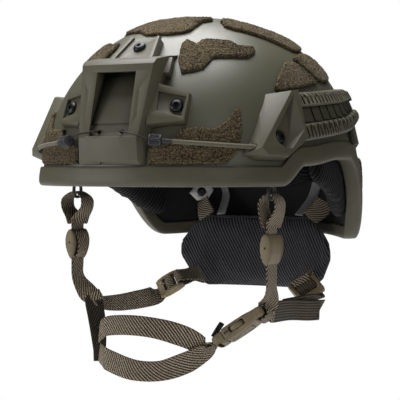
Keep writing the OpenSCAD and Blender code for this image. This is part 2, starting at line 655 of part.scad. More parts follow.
// Folded webbing where the front, rear and chin straps are sewn together.
// The left one also turns round the bar at the end of the buckle's socket.
module strap_junction(wraps) {
    color(webbing) if (wraps) {
        ribbon([junction + [1, -1, 8.9], junction + [0.9, -0.8, 6.5], junction + [0.8, -0.6, 3.4]],
            [[0.75, 0.65, 0], [0.65, 0.75, 0], [0.5, 0.85, 0]], web_w, 4.6, 3);
        round = 2.2 + web_t / 2;
        ribbon([for (p = [[round - 1, -7.5], [round, -3.5], [round, 0.5], [round - 1.1, 2.7], [1.1 - round, 2.7],
                [-round, 0.5], [-round, -3.5], [1.6 - round, -7.5]]) buckle_point(bar_x + p[0], 0, p[1])],
            [for (k = [0:7]) -buckle_wide], web_w, web_t, 28);
    } else {
        ribbon([junction + [1, -1, 8.9], junction + [0.4, -0.6, 3], junction + [-0.4, 0, -4],
            junction + [-1.2, -0.6, -9]],
            [[0.5, 0.8, 0], [0.45, 0.85, 0], [0.4, 0.9, 0], [0.4, 0.9, 0.1]], web_w, 4.6, 6);
    }
}

// Ladder locks: middle, direction of the bars and direction of the webbing
lock_l = 21;
lock_bars = unit([0.63, 0.6, 0.49]);
lock_way = let (w = [-0.73, 0.42, 0.54]) unit(w - (w * lock_bars) * lock_bars);
lock_out = cross(lock_bars, lock_way);
left_lock = [strap_x - 22.6, 50, -83.5];
right_lock = [strap_x - 22.6, 53, -85];
function lock_point(f, p) = f + lock_way * p[0] + lock_out * p[1];

// Frame with a middle bar between two slots, and a lever plate at its lower end
module ladder_lock(f) {
    w = web_w + 6.5;
    color(buckle_tan) multmatrix([for (r = [0:2]) [lock_bars[r], lock_way[r], lock_out[r], f[r]]]) {
        for (side = [-1, 1]) translate([side * (w / 2 - 1.4), 0, 0]) rotate([90, 0, 90])
            linear_extrude(2.8, center = true) polygon([[-lock_l / 2, -1.6], [-5, -2.4], [5, -2.4],
                [lock_l / 2, -1.5], [lock_l / 2, 1.6], [4, 3], [-4, 3], [-lock_l / 2, 2]]);
        translate([-w / 2 + 1, -lock_l / 2 - 1.5, -1.2]) cube([w - 2, 5.6, 3]);
        translate([-w / 2 + 1, -1.4, -0.9]) cube([w - 2, 2.8, 1.8]);
        translate([-w / 2 + 1, lock_l / 2 - 2.8, -1.1]) cube([w - 2, 2.6, 2.2]);
    }
}

// Rear strap under the lever plate, up through the lock and over its middle bar
function threaded(f) = [for (p = [[-12.8, -3.2], [-8.5, -2.7], [-5.2, -1.9], [-3.1, 0.9], [-1.6, 2.3], [1.6, 2.3],
    [3.1, 0.9], [3.7, -1.8]]) lock_point(f, p)];

module rear_strap(folded) {
    start = junction + [0.5, 9.1, -2];
    f = folded ? left_lock : right_lock;
    across = [for (k = [0:7]) lock_bars];
    color(webbing) if (folded) {
        ribbon([start, [strap_x - 12, 0, -96.5], [strap_x - 10.4, 28, -99.2], [strap_x - 9, 45.6, -100.2]],
            [[0, 0, 1], [0.05, 0, 1], [0, 0, 1], [0, 0, 1]], web_w, web_t, 7, [0, 14]);
        // Bar of stitching that joins the two layers
        translate([strap_x - 14.6, -4, -102]) cube([3.2, 4, 12]);
        ribbon(concat([[strap_x - 14.6, -8, -95.6], [strap_x - 14.8, 6, -95.5], [strap_x - 15, 20, -95.2],
                [strap_x - 14.2, 35, -94.2]], threaded(f)),
            concat([[0, 0, 1], [0, 0, 1], [0.1, 0.1, 1], [0.3, 0.3, 0.8]], across), web_w, web_t, 36);
    } else {
        ribbon(concat([start, [strap_x - 10.4, -8, -97], [strap_x - 10.8, 24, -96.5],
                [strap_x - 11, 42, -95.5]], threaded(f)),
            concat([[0, 0, 1], [0.1, 0, 1], [0.1, 0.1, 1], [0.3, 0.3, 0.8]], across), web_w, web_t, 36);
    }
}

// Webbing doubled round the lock's upper bar and sewn to the nape pad
nape_end = [52, 80.7, -78];

module nape_strap(folded) {
    f = folded ? left_lock : right_lock;
    bar = lock_l / 2 - 1.5;
    knee = lerp(lock_point(f, [bar + 5, 0]), nape_end, 0.4);
    off = unit(cross(nape_end - knee, lock_bars)) * (web_t / 2 + 0.2);
    loop = [for (p = [[1.8, -2.8], [-1.2, -2.7], [-2.9, -1.3], [-2.9, 1.3], [-1.2, 2.7], [1.8, 2.8]])
        lock_point(f, [bar + p[0], p[1]])];
    color(webbing) ribbon(concat([nape_end + off, knee + off], loop, [knee - off, nape_end - off]),
        concat([[0.5, 0.3, 0.8]], [for (k = [0:7]) lock_bars], [[0.5, 0.3, 0.8]]), web_w, web_t, 36);
}

// Chin strap
buckle_tip = [strap_x - 43.6, strap_y - 8.1, junction_z - 25.5];
buckle_end = [strap_x - 13.6, strap_y + 4.4, junction_z - 3.5];
buckle_dir = unit(buckle_end - buckle_tip);
view_in = [0.5, -0.866, 0];
buckle_face = unit(view_in - (view_in * buckle_dir) * buckle_dir);
buckle_lift = cross(buckle_face, buckle_dir);
buckle_wide = cos(20) * buckle_face + sin(20) * buckle_lift;
buckle_thick = cross(buckle_dir, buckle_wide);
chin_join = buckle_tip - 3.5 * buckle_dir;

// Middle of the bar at the socket's end
bar_x = 10 + socket_l + 6.1;
function buckle_point(x, y, z) = buckle_tip + x * buckle_dir + y * buckle_wide + z * buckle_thick;

// Places children on the buckle: X along it towards the socket, Y across it, Z through it
module on_buckle(p) {
    multmatrix([for (r = [0:2]) [buckle_dir[r], buckle_wide[r], buckle_thick[r], p[r]]]) children();
}

module chin_strap_upper() {
    color(webbing) ribbon([[-70.5, -50, -118], [-62, -58.5, -113.5], [-50, -66, -109.5], [-20, -79, -106.5],
            [5, -80, -108], [24, -74, -113.5], chin_join + [-5.7, -2.4, 0.1], chin_join + [-0.6, -0.8, 1.2]],
        [[0, 0.2, 1], [0, 0.1, 1], [0, 0.3, 0.9], [0, 0.45, 0.9], [0, 0.45, 0.9], [0.1, 0, 1],
            [0.1, -0.5, 0.7], buckle_wide], web_w, web_t, 26);
}

module chin_strap_lower() {
    color(webbing) ribbon([[-69.6, -50.9, -133.5], [-61, -58.5, -135.5], [-50, -66, -137.5], [-20, -79, -141],
            [5, -80, -140], [24, -74, -133.5], chin_join + [-5.5, -2.4, -5.2], chin_join + [-0.4, -0.6, -2]],
        [[0, 0.1, 1], [0, 0.1, 1], [0, 0.3, 0.9], [0, 0.45, 0.9], [0, 0.4, 0.9], [0.1, 0, 1],
            [0.1, -0.5, 0.7], buckle_wide], web_w, web_t, 26);
}

// Upright web that carries both chin webs at the wearer's right
module chin_web() {
    color(webbing) ribbon([[-strap_x + 11.2, strap_y + 10.8, -102.7], [-strap_x + 13.6, strap_y + 9.8, -109],
            [-73.5, -47, -122], [-72.2, -48, -132], [-71.4, -49, -141]],
        [[0.5, 0.8, 0], [0.6, 0.8, 0], [0.75, 0.65, 0], [0.85, 0.5, 0], [0.9, 0.4, 0]], web_w, 2.2, 12);
}

module strap_tail() {
    base = chin_join + [0.8, 1, 7.2];
    color([0.12, 0.1, 0.08]) ribbon([base, base + [2.5, 1.5, 5], base + [5.5, 3.5, 10.5]],
        [buckle_wide, buckle_wide, buckle_wide], 9, 2.2, 6);
}

arm_l = 17;
arm_w = 3;
arm_root = 8.4;

module buckle_socket() {
    wall = 1.6;
    color(buckle_tan) on_buckle(buckle_tip) difference() {
        union() {
            translate([10, -buckle_w / 2, -buckle_t / 2]) cube([socket_l, buckle_w, buckle_t]);
            translate([9 + socket_l, -buckle_w / 2 + 1.5, -1.5]) cube([bar_x - 7.1 - socket_l, buckle_w - 3, 3]);
        }
        translate([9, -buckle_w / 2 + wall, -buckle_t / 2 + wall])
            cube([socket_l - 3, buckle_w - 2 * wall, buckle_t - 2 * wall]);
        for (side = [-1, 1]) translate([16, side * buckle_w / 2 - 3, -1.7]) cube([13, 6, 3.4]);
        translate([bar_x - 5.9, -web_w / 2 - 0.8, -5]) cube([4, web_w + 1.6, 10]);
    }
}

module buckle_plug() {
    color(buckle_tan) on_buckle(buckle_tip) difference() {
        union() {
            translate([0, -buckle_w / 2 + 1, -buckle_t / 2 + 0.4]) cube([9.4, buckle_w - 2, buckle_t - 0.8]);
            translate([9, -3, -1.8]) cube([18, 6, 3.6]);
        }
        translate([1.8, -web_w / 2 - 0.5, -6]) cube([3.2, web_w + 1, 12]);
        for (side = [-1, 1]) translate([7.2, side * (buckle_w / 2 - 3.4) - 1.9, -2.3]) cube([3, 3.8, 4.6]);
    }
}

// Sprung arm whose shoulder shows in the socket's side window
module buckle_arm(side) {
    color(buckle_tan) on_buckle(buckle_tip) mirror([0, side > 0 ? 0 : 1, 0]) {
        translate([arm_root, buckle_w / 2 - 3.9, -1.5]) cylinder(r = 1, h = 3);
        translate([arm_root, buckle_w / 2 - 4.9, -1.5]) cube([arm_l - 1, 2, 3]);
        translate([17, buckle_w / 2 - 4.9, -1.5]) cube([arm_root + arm_l - 18, arm_w + 2, 3]);
    }
}

// Pads
function swell(x) = pow(max(0, 1 - pow(abs(x), 4)), 0.5);

// Cushion on the inside of the shell: stations of angle, lower and upper height
module skin_pad(stations, back, nt = 12, nz = 8) {
    line = route(stations, nt);
    edge = 0.35;
    color(mesh_black) loft([for (i = [0:nt])
        let (c = line[i], u = 2 * i / nt - 1, narrow = 0.75 + 0.25 * swell(u), mid = (c[1] + c[2]) / 2,
            half = (c[2] - c[1]) / 2 * narrow)
        concat([for (k = [0:nz]) let (v = 2 * k / nz - 1, e = edge + (1 - edge) * swell(u) * swell(v))
                skin(c[0], mid + half * v * 0.97, -shell_wall - back - pad_t * e)],
            [for (k = [nz:-1:0]) skin(c[0], mid + half * (2 * k / nz - 1), -shell_wall - back)])]);
}

side_pad_line = [[86, 3, 42], [97, -3, 46], [108, -11, 48], [120, -23, 46], [131, -32, 38]];
front_pad_line = [[-38, 16, 46], [-19, 15, 49], [0, 15, 50], [19, 15, 49], [38, 16, 46]];
rear_half = (170 - anchor_t) / 2;
rear_pad_line = [[180 - 2 * rear_half, 2, 48], [180 - rear_half, -2, 54], [180, -4, 56],
    [180 + rear_half, -2, 54], [180 + 2 * rear_half, 2, 48]];
temple_pad_line = [[44, 62, 96], [56, 58, 98], [68, 56, 98], [80, 58, 96]];

module crown_pad() {
    r = 46;
    rings = 8;
    m = 24;
    under = shell_wall + 2 * seat;
    function crown_at(x, y, d) =
        let (q = norm([x, y]), a = q < 0.001 ? 0 : atan2(x, -y), f = min(1, q / plan_r(a, -d)))
        [x, y, (shell_h - d) * pow(1 - pow(f, dome_power), 1 / dome_power)];
    inner = [for (i = [0:rings]) let (q = r * 0.97 * sqrt(i / rings) + 0.5, e = 0.35 + 0.65 * swell(i / rings))
        [for (j = [0:m - 1]) crown_at(q * sin(j * 360 / m), -q * cos(j * 360 / m), under + pad_t * e)]];
    outer = [for (i = [rings:-1:0]) let (q = r * sqrt(i / rings) + 0.5) [for (j = [0:m - 1])
        crown_at(q * sin(j * 360 / m), -q * cos(j * 360 / m), under)]];
    color(mesh_black) loft(concat(inner, outer));
}

// Nape pad: outline as half width at heights from its lower to its upper edge
nape_line = [[-88, 0.72], [-83, 0.82], [-74, 0.93], [-64, 1], [-52, 0.99], [-42, 0.93], [-33, 0.83], [-26, 0.7]];
nape_y = 98;
nape_bend = 16;

module nape_pad() {
    nu = 20;
    nv = 10;
    line = route(nape_line, nv);
    color(mesh_black) loft([for (k = [0:nv])
        let (z = line[k][0], w = nape_w / 2 * line[k][1], v = swell(2 * k / nv - 1))
        concat([for (j = [0:nu]) let (u = 2 * j / nu - 1, e = 0.3 + 0.7 * swell(u) * v)
                [u * w, nape_y - nape_bend * u * u - nape_t / 2 * e - (z + 60) * 0.05, z]],
            [for (j = [nu:-1:0]) let (u = 2 * j / nu - 1, e = 0.3 + 0.4 * swell(u) * v)
                [u * w, nape_y - nape_bend * u * u + nape_t / 2 * e - (z + 60) * 0.05, z]])],
        folded = true);
}

anchor_plate_t = 1.6;

module anchor_plates() {
    color([0.62, 0.62, 0.64]) for (side = [-1, 1]) mirrored(side) on_skin(anchor_t, anchor_z, -shell_wall)
        translate([0, 0, -anchor_plate_t - 1.3]) difference() {
            linear_extrude(anchor_plate_t) polygon([[-11, -1], [-5, 7], [4, 8], [11, 2], [6, -6], [-4, -8]]);
            translate([0, 0, -1]) cylinder(r = shank_r + 0.2, h = 4);
        }
}

module nape_hangers() {
    top = skin(anchor_t, anchor_z, -shell_wall - 5);
    color(webbing) for (side = [-1, 1]) mirrored(side)
        ribbon([top + [-2, -1.5, -7], top + [-5, -5, -14], [50, nape_y - 10, -27]],
            [[0.9, 0.5, 0], [0.9, 0.4, 0], [1, 0.3, 0]], web_w, web_t, 6);
}

module nape_stays() {
    top = skin(157, 2, -shell_wall - 3.4);
    color([0.4, 0.4, 0.4]) for (side = [-1, 1]) mirrored(side)
        ribbon([top, top + [-4, -1, -12], [38, nape_y - 6, -25]],
            [[1, 0.3, 0], [1, 0.3, 0.2], [1, 0.2, 0.2]], 8, 1.2, 6);
}

shell();
edge_trim();
shroud_frame();
shroud_insert();
rail();  // rail_left
mirrored(-1) rail();  // rail_right
button_screws();
barrel_nuts();
patch(crown_front, 6);  // patch_crown_front
patch(crown_side);  // patch_crown_left
mirrored(-1) patch(crown_side);  // patch_crown_right
patch(upper_side);  // patch_upper_left
mirrored(-1) patch(upper_side);  // patch_upper_right
union() { patch(ear_patch); patch(behind_ear); }  // patch_side_left
mirrored(-1) { patch(ear_patch); patch(behind_ear); }  // patch_side_right
patch(lower_side);  // patch_lower_left
mirrored(-1) patch(lower_side);  // patch_lower_right
union() { patch(rear_small, 2); patch(rear_large); }  // patch_rear_left
mirrored(-1) { patch(rear_small, 2); patch(rear_large); }  // patch_rear_right
bungee();  // bungee_left
mirrored(-1) bungee();  // bungee_right
for (side = [-1, 1]) mirrored(side) ferrule();  // lanyard_ferrules
lanyard_grip();  // lanyard_grip_left
mirrored(-1) lanyard_grip();  // lanyard_grip_right
for (side = [-1, 1]) mirrored(side) wire_hook();  // wire_hooks
hanger();  // hanger_left
mirrored(-1) hanger();  // hanger_right
hanger_loop();  // hanger_loop_left
mirrored(-1) hanger_loop();  // hanger_loop_right
strap_slider();  // strap_slider_left
mirrored(-1) strap_slider();  // strap_slider_right
front_strap();  // front_strap_left
mirrored(-1) front_strap();  // front_strap_right
strap_junction(true);  // strap_junction_left
mirrored(-1) strap_junction(false);  // strap_junction_right
rear_strap(true);  // rear_strap_left
mirrored(-1) rear_strap(false);  // rear_strap_right
ladder_lock(left_lock);  // ladder_lock_left
mirrored(-1) ladder_lock(right_lock);  // ladder_lock_right
nape_strap(true);  // nape_strap_left
mirrored(-1) nape_strap(false);  // nape_strap_right
chin_strap_upper();
chin_strap_lower();
chin_web();
strap_tail();
buckle_socket();
buckle_plug();
buckle_arm(1);  // buckle_arm_upper
buckle_arm(-1);  // buckle_arm_lower
nape_pad();
anchor_plates();
nape_hangers();
nape_stays();
skin_pad(front_pad_line, 2 * seat);  // front_pad
crown_pad();
skin_pad(rear_pad_line, 2 * seat);  // rear_pad
skin_pad(side_pad_line, 2 + seat + 0.1);  // side_pad_left
mirrored(-1) skin_pad(side_pad_line, 2 + seat + 0.1);  // side_pad_right
for (side = [-1, 1]) mirrored(side) skin_pad(temple_pad_line, 2 * seat, 10, 6);  // temple_pads
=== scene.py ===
"""Combat helmet with shroud, rails, loop patches, pads and chin harness.

Millimetres in the sizes below, metres in the meshes. The front faces -Y, the wearer's left is +X.
"""

import math

import bmesh
import bpy
import numpy as np
from bpy.props import FloatProperty, FloatVectorProperty, PointerProperty
from mathutils import Matrix, Vector


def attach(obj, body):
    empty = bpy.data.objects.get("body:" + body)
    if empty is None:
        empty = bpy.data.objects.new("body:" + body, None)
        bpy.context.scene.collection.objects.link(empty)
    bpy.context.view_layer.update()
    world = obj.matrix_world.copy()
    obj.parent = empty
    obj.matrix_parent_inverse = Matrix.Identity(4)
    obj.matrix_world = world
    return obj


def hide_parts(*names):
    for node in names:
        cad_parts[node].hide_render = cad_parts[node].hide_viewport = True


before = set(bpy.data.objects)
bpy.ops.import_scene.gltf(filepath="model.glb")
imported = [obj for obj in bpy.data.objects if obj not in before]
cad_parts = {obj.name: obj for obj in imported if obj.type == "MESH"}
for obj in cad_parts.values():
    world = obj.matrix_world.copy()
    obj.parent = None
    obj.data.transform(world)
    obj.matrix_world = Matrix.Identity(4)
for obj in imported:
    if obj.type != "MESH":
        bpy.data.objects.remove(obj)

bl_info = {
    "name": "Combat Helmet",
    "version": (1, 0, 0),
    "blender": (4, 5, 0),
    "location": "3D View > Sidebar > Helmet",
    "description": "Builds a combat helmet's shell, fittings, pads and harness round a packed frame",
    "category": "Object",
}

MM = 0.001
PER_MM = 1 / MM
FULL_TURN = 2 * math.pi
render_levels = 1
SIDES = ((1, "left"), (-1, "right"))
SHARP_BEND = 28
SENSOR = 36
# Near-black that painted shade in corners is mixed towards.
PAINTED_SHADE_GREY = (0.008, 0.008, 0.007)


def length(name, default, description):
    """A size property, kept in metres and given here in millimetres."""
    return FloatProperty(name=name, default=default * MM, unit="LENGTH", description=description, precision=4)


def tint(name, value, description):
    """A colour property, given as sRGB values from 0 to 255."""
    linear = [((c / 255 + 0.055) / 1.055) ** 2.4 if c > 10 else c / 255 / 12.92 for c in value]
    return FloatVectorProperty(name=name, default=linear, subtype="COLOR", size=3, min=0, max=1,
                               description=description)


class HelmetSizes(bpy.types.PropertyGroup):
    """Sizes that the shell and what is fastened to it are worked out from."""

    shell_w: length("Shell width", 234, "Outside width at the widest section")
    shell_front: length("Front reach", 140, "Reach of the shell ahead of its centre")
    shell_rear: length("Rear reach", 129, "Reach of the shell behind its centre")
    shell_h: length("Crown height", 136, "Height of the crown above the widest section")
    shell_wall: length("Wall", 8, "Wall of the shell")
    patch_t: length("Patch thickness", 2.6, "Thickness of the loop patches")
    web_w: length("Webbing width", 16.5, "Width of the harness webbing")
    web_t: length("Webbing thickness", 1.6, "Thickness of the harness webbing")
    pad_t: length("Pad thickness", 17, "Thickness of the comfort pads")
    cord_d: length("Lanyard cord", 3.4, "Diameter of the elastic cord")


class HelmetColours(bpy.types.PropertyGroup):
    """Colours of the finishes."""

    paint: tint("Shell paint", (74, 73, 56), "Sprayed finish of the shell")
    polymer: tint("Moulded fittings", (76, 73, 56), "Trim, shroud and rails")
    pile: tint("Loop pile", (121, 106, 80), "Tips of the patches' pile")
    pile_root: tint("Pile roots", (50, 43, 31), "Gaps between the pile's loops")
    # The webbing's rib and ground colours hold painted highlight and painted shade besides the yarns' own tones.
    web_light: tint("Webbing ribs", (197, 180, 154), "Raised yarns of the webbing")
    web_dark: tint("Webbing ground", (49, 41, 34), "Yarns between the ribs")
    plastic: tint("Buckle plastic", (120, 107, 82), "Sliders, locks and the chin buckle")
    fabric: tint("Pad cover", (50, 48, 53), "Ribbed mesh over the pads")


# ---------------------------------------------------------------- shape of the shell


def ease(x):
    """Smooth step from 0 to 1: 3x^2 - 2x^3 of x held between 0 and 1."""
    c = np.clip(x, 0, 1)
    return c * c * (3 - 2 * c)


def unit(v):
    """Each vector divided by its own length."""
    v = np.asarray(v, float)
    return v / np.linalg.norm(v, axis=-1, keepdims=True)


def lerp(a, b, x):
    """The value at share x of the way from a to b."""
    return a + (b - a) * x


class Form:
    """The shell as a surface: a superellipse plan, scaled by a second superellipse in height."""

    plan_power = 2.34
    dome_power = 2.12
    skirt_in = 2.5
    brim_z = 4
    ear_z = 19
    ear_rise = 5
    lobe_z = -41
    nape_z = -38
    ear_front = (55.5, 67)
    ear_back = (102, 132)

    def __init__(self, sizes):
        for key in sizes.__annotations__:
            setattr(self, key, getattr(sizes, key) * PER_MM)

    def plan_r(self, t, o=0.0):
        """Radius at angle t: (|sin t / a|^p + |cos t / b|^p)^(-1/p), where b is the reach at that end."""
        s, c = np.sin(np.radians(t)), np.cos(np.radians(t))
        reach = np.where(c > 0, self.shell_front, self.shell_rear) + o
        p = self.plan_power
        return ((np.abs(s) / (self.shell_w / 2 + o)) ** p + (np.abs(c) / reach) ** p) ** (-1 / p)

    def height_r(self, z, o=0.0):
        """Share of the plan radius at height z: (1 - (z/h)^d)^(1/d), drawn in a little below zero."""
        z = np.asarray(z, float)
        d = self.dome_power
        dome = (1 - np.clip(z / (self.shell_h + o), 0, 1) ** d) ** (1 / d)
        return np.where(z >= 0, dome, 1 - self.skirt_in / (self.shell_w / 2) * (z / self.lobe_z) ** 2)

    def skin(self, t, z, o=0.0):
        """Point at angle t and height z on the shell's outside, grown outwards by o."""
        t, z, o = np.broadcast_arrays(np.asarray(t, float), np.asarray(z, float), np.asarray(o, float))
        r = self.plan_r(t, o) * self.height_r(z, o)
        a = np.radians(t)
        return np.stack([r * np.sin(a), -r * np.cos(a), z], -1)

    def lat_z(self, s, o=0.0):
        """Height of latitude s: h sin(s)^(2/d), with the sign kept."""
        s = np.radians(s)
        return np.sign(s) * (self.shell_h + o) * np.abs(np.sin(s)) ** (2 / self.dome_power)

    def z_lat(self, z, o=0.0):
        """Latitude of a height, the reverse of lat_z."""
        z = np.asarray(z, float)
        return np.sign(z) * np.degrees(np.arcsin((np.abs(z) / (self.shell_h + o)) ** (self.dome_power / 2)))

    def edge_z(self, t):
        """Height of the shell's edge: level brim, a rise over the ear, a drop behind it."""
        a = np.abs((np.asarray(t, float) + 180) % 360 - 180)
        front, back = self.ear_front, self.ear_back
        return (self.brim_z + (self.ear_z - self.brim_z) * ease((a - front[0]) / (front[1] - front[0]))
                + self.ear_rise * ease((a - front[1]) / 25)
                - (self.ear_z + self.ear_rise - self.lobe_z) * ease((a - back[0]) / (back[1] - back[0]))
                + (self.nape_z - self.lobe_z) * ease((a - back[1]) / 30))

    def edge_point(self, t, b, o):
        """Point b up the shell from its edge, measured square to the edge, on the skin grown by o."""
        step = 2.0
        r = self.plan_r(t)
        run = r * np.radians(2 * step)
        rise = 0.75 * (self.edge_z(t + step) - self.edge_z(t - step))
        size = np.hypot(run, rise)
        return self.skin(t - np.degrees(rise / size * b / r), self.edge_z(t) + run / size * b, o)

    def facing(self, t, z):
        """Matrix whose columns point round the shell, up it and straight out of it at that point."""
        s, c, p = math.sin(math.radians(t)), math.cos(math.radians(t)), self.plan_power
        reach = self.shell_front if c > 0 else self.shell_rear
        yaw = math.atan2(math.copysign(abs(s) ** (p - 1), s) / (self.shell_w / 2) ** p,
                         math.copysign(abs(c) ** (p - 1), c) / reach ** p)
        d = self.dome_power
        pitch = 0 if z <= 0 else math.atan2((z / self.shell_h) ** (d - 1) / self.shell_h,
                                            float(self.height_r(z)) ** (d - 1) / float(self.plan_r(t)))
        turn = math.pi / 2 - pitch
        rz = np.array([[math.cos(yaw), -math.sin(yaw), 0], [math.sin(yaw), math.cos(yaw), 0], [0, 0, 1]])
        rx = np.array([[1, 0, 0], [0, math.cos(turn), -math.sin(turn)], [0, math.sin(turn), math.cos(turn)]])
        return rz @ rx

    def place(self, t, z, points, o=0.0):
        """Points given round, up and out of the skin, in the frame of the point at t and z."""
        return self.skin(t, z, o) + np.asarray(points, float) @ self.facing(t, z).T


# ---------------------------------------------------------------- making meshes


def linked(name, data):
    """New object in the scene that shows the data."""
    obj = bpy.data.objects.new(name, data)
    bpy.context.scene.collection.objects.link(obj)
    return obj


def build(name, points, faces, uv=None, side=1):
    """Object from points in millimetres and lists of faces, each list an array of one face size.

    uv holds two numbers for each point. With side at -1 the object is the mirror image of what the points give.
    """
    mesh = bpy.data.meshes.new(name)
    faces = [np.asarray(f, np.int32)[:, ::side] for f in faces]
    corners = np.concatenate([f.ravel() for f in faces])
    sizes = np.concatenate([np.full(len(f), f.shape[1], np.int32) for f in faces])
    mesh.vertices.add(len(points))
    mesh.vertices.foreach_set("co", (np.asarray(points, float) * [side, 1, 1] * MM).astype(np.float32).ravel())
    mesh.loops.add(len(corners))
    mesh.loops.foreach_set("vertex_index", corners)
    mesh.polygons.add(len(sizes))
    mesh.polygons.foreach_set("loop_start", np.concatenate([[0], np.cumsum(sizes)[:-1]]).astype(np.int32))
    mesh.polygons.foreach_set("use_smooth", np.ones(len(sizes), bool))
    mesh.update(calc_edges=True)
    if uv is not None:
        layer = mesh.uv_layers.new(name="weave")
        layer.uv.foreach_set("vector", uv.reshape(-1, 2)[corners].astype(np.float32).ravel())
    mesh.validate()
    return linked(name, mesh)


def cells(n, m, wrap_rows=False, wrap=False):
    """Quads between the points of an n by m grid, row by row. wrap joins each row's ends, wrap_rows the rows."""
    i, j = np.meshgrid(np.arange(n if wrap_rows else n - 1), np.arange(m if wrap else m - 1), indexing="ij")
    i, j, k, l = i.ravel(), j.ravel(), ((i + 1) % n).ravel(), ((j + 1) % m).ravel()
    return np.stack([i * m + j, i * m + l, k * m + l, k * m + j], -1)


def loft(name, rings, closed=False, uv=None, side=1):
    """Closed solid through rings of points, an array of n by m by 3. uv holds two numbers for each ring point."""
    n, m = rings.shape[:2]
    faces = [cells(n, m, closed, True)]
    if not closed:
        faces += [np.arange(m)[None, ::-1], (np.arange(m) + (n - 1) * m)[None]]
    return build(name, rings.reshape(-1, 3), faces, uv, side)


def joined(name, objs):
    """One object from several, with each mesh's own faces kept apart."""
    bm = bmesh.new()
    for obj in objs:
        bm.from_mesh(obj.data)
    mesh = bpy.data.meshes.new(name)
    bm.to_mesh(mesh)
    bm.free()
    for obj in objs:
        bpy.data.objects.remove(obj)
    return linked(name, mesh)


def mirrored(name, obj):
    """Copy of a piece on the other side, with its faces turned so that they still point outwards."""
    out = linked(name, obj.data.copy())
    out.data.transform(Matrix.Scale(-1, 4, (1, 0, 0)))
    out.data.flip_normals()
    return out


def apply_modifiers(obj):
    """The mesh as its modifiers leave it, with the modifiers taken off."""
    graph = bpy.context.evaluated_depsgraph_get()
    mesh = bpy.data.meshes.new_from_object(obj.evaluated_get(graph), depsgraph=graph)
    obj.modifiers.clear()
    obj.data = mesh


def take_away(obj, tool, use_self=False):
    """Cuts the tool's form out of a piece and removes the tool. use_self is for a tool that crosses itself."""
    mod = obj.modifiers.new("cut", "BOOLEAN")
    mod.operation, mod.solver, mod.object, mod.use_self = "DIFFERENCE", "EXACT", tool, use_self
    apply_modifiers(obj)
    bpy.data.objects.remove(tool)


def vertex_points(mesh):
    """The mesh's points in metres, an array of n by 3."""
    co = np.empty(len(mesh.vertices) * 3, np.float32)
    mesh.vertices.foreach_get("co", co)
    return co.reshape(-1, 3)


def smooth(obj, angle=None):
    """Smooth shading, with edges sharper than angle kept crisp."""
    obj.data.shade_smooth()
    if angle is not None:
        obj.data.set_sharp_from_angle(angle=math.radians(angle))
    return obj


def finish_piece(obj, material, body="helmet", nodes=()):
    """Gives a piece its material and its body, and hides the CAD nodes that it stands for."""
    obj.data.materials.clear()
    obj.data.materials.append(material)
    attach(obj, body)
    if nodes:
        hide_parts(*nodes)


def softened(name, node, bevel, segments=2):
    """Copy of a CAD node with its doubles merged, flat faces joined and its edges rounded by a bevel."""
    obj = linked(name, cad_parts[node].data.copy())
    bm = bmesh.new()
    bm.from_mesh(obj.data)
    bmesh.ops.remove_doubles(bm, verts=bm.verts, dist=0.01 * MM)
    bmesh.ops.dissolve_limit(bm, angle_limit=math.radians(1.2), verts=bm.verts, edges=bm.edges)
    bm.to_mesh(obj.data)
    bm.free()
    mod = obj.modifiers.new("edges", "BEVEL")
    mod.width, mod.segments = bevel * MM, segments
    mod.limit_method, mod.angle_limit = "ANGLE", math.radians(SHARP_BEND)
    mod.miter_outer = "MITER_ARC"
    mod.use_clamp_overlap = True
    apply_modifiers(obj)
    return smooth(obj, 35)


def route(points, n):
    """Catmull-Rom curve through points, at n + 1 even steps of its parameter."""
    p = np.asarray(points, float)
    x = np.linspace(0, len(p) - 1, n + 1)
    i = np.minimum(x.astype(int), len(p) - 2)
    u = (x - i)[:, None]
    a, b, c, d = p[np.maximum(i - 1, 0)], p[i], p[i + 1], p[np.minimum(i + 2, len(p) - 1)]
    return 0.5 * (2 * b + (c - a) * u + (2 * a - 5 * b + 4 * c - d) * u ** 2 + (3 * b - a - 3 * c + d) * u ** 3)


def headings(path):
    """Direction of travel at each point, from the points before and after it."""
    ahead = np.concatenate([path[1:], path[-1:]])
    behind = np.concatenate([path[:1], path[:-1]])
    return unit(ahead - behind)


def travelled(path):
    """Distance along the path at each point."""
    return np.concatenate([[0], np.cumsum(np.linalg.norm(np.diff(path, axis=0), axis=1))])


def strap(name, points, widths, form, w=None, t=None, n=90, slant=(0, 0), side=1, ripple=0.12, seed=0, taper=None):
    """Strap of webbing along a route, with its weave measured in centimetres across and along.

    The section's half thickness at share x of the half width is t/2 (1 - |x|^12)^(1/2). ripple bends the
    strap out of its plane by a few slow waves of that height, and slant sets its two ends askew.
    """
    w, t = w or form.web_w, t or form.web_t
    path = route(points, n)
    turn = route(widths, n)
    d = headings(path)
    u = unit(turn - np.sum(turn * d, -1, keepdims=True) * d)
    v = np.cross(d, u)
    s = travelled(path)
    x = np.sin(np.linspace(-math.pi / 2, math.pi / 2, 15))
    half = t / 2 * np.sqrt(1 - np.abs(x) ** 12) + 0.02
    across = np.concatenate([x, x[::-1]]) * w / 2
    thick = np.concatenate([-half, half[::-1]])
    even = np.linspace(0, 1, n + 1)
    share = np.ones(n + 1) if taper is None else np.interp(even, np.linspace(0, 1, len(taper)), taper)
    run = np.zeros(n + 1)
    run[0], run[-1] = slant[0] / w, slant[1] / w
    if ripple:
        phase = np.random.default_rng(seed).uniform(0, FULL_TURN, 3)
        wave = sum(np.sin(s[:, None] / q + phase[k] + across * 0.12) for k, q in enumerate((5.5, 9.0, 14.0))) / 3
        fade = np.minimum(1, np.minimum(s, s[-1] - s) / 8)[:, None]
        thick = thick + ripple * wave * fade
    thick = np.broadcast_to(thick, (n + 1, len(across)))
    rings = (path[:, None] + u[:, None] * (across[None] * share[:, None])[..., None] + v[:, None] * thick[..., None]
             + d[:, None] * (run[:, None] * across[None])[..., None])
    uv = np.stack(np.broadcast_arrays(across[None] / 10, s[:, None] / 10), -1)
    return loft(name, rings, uv=uv, side=side)


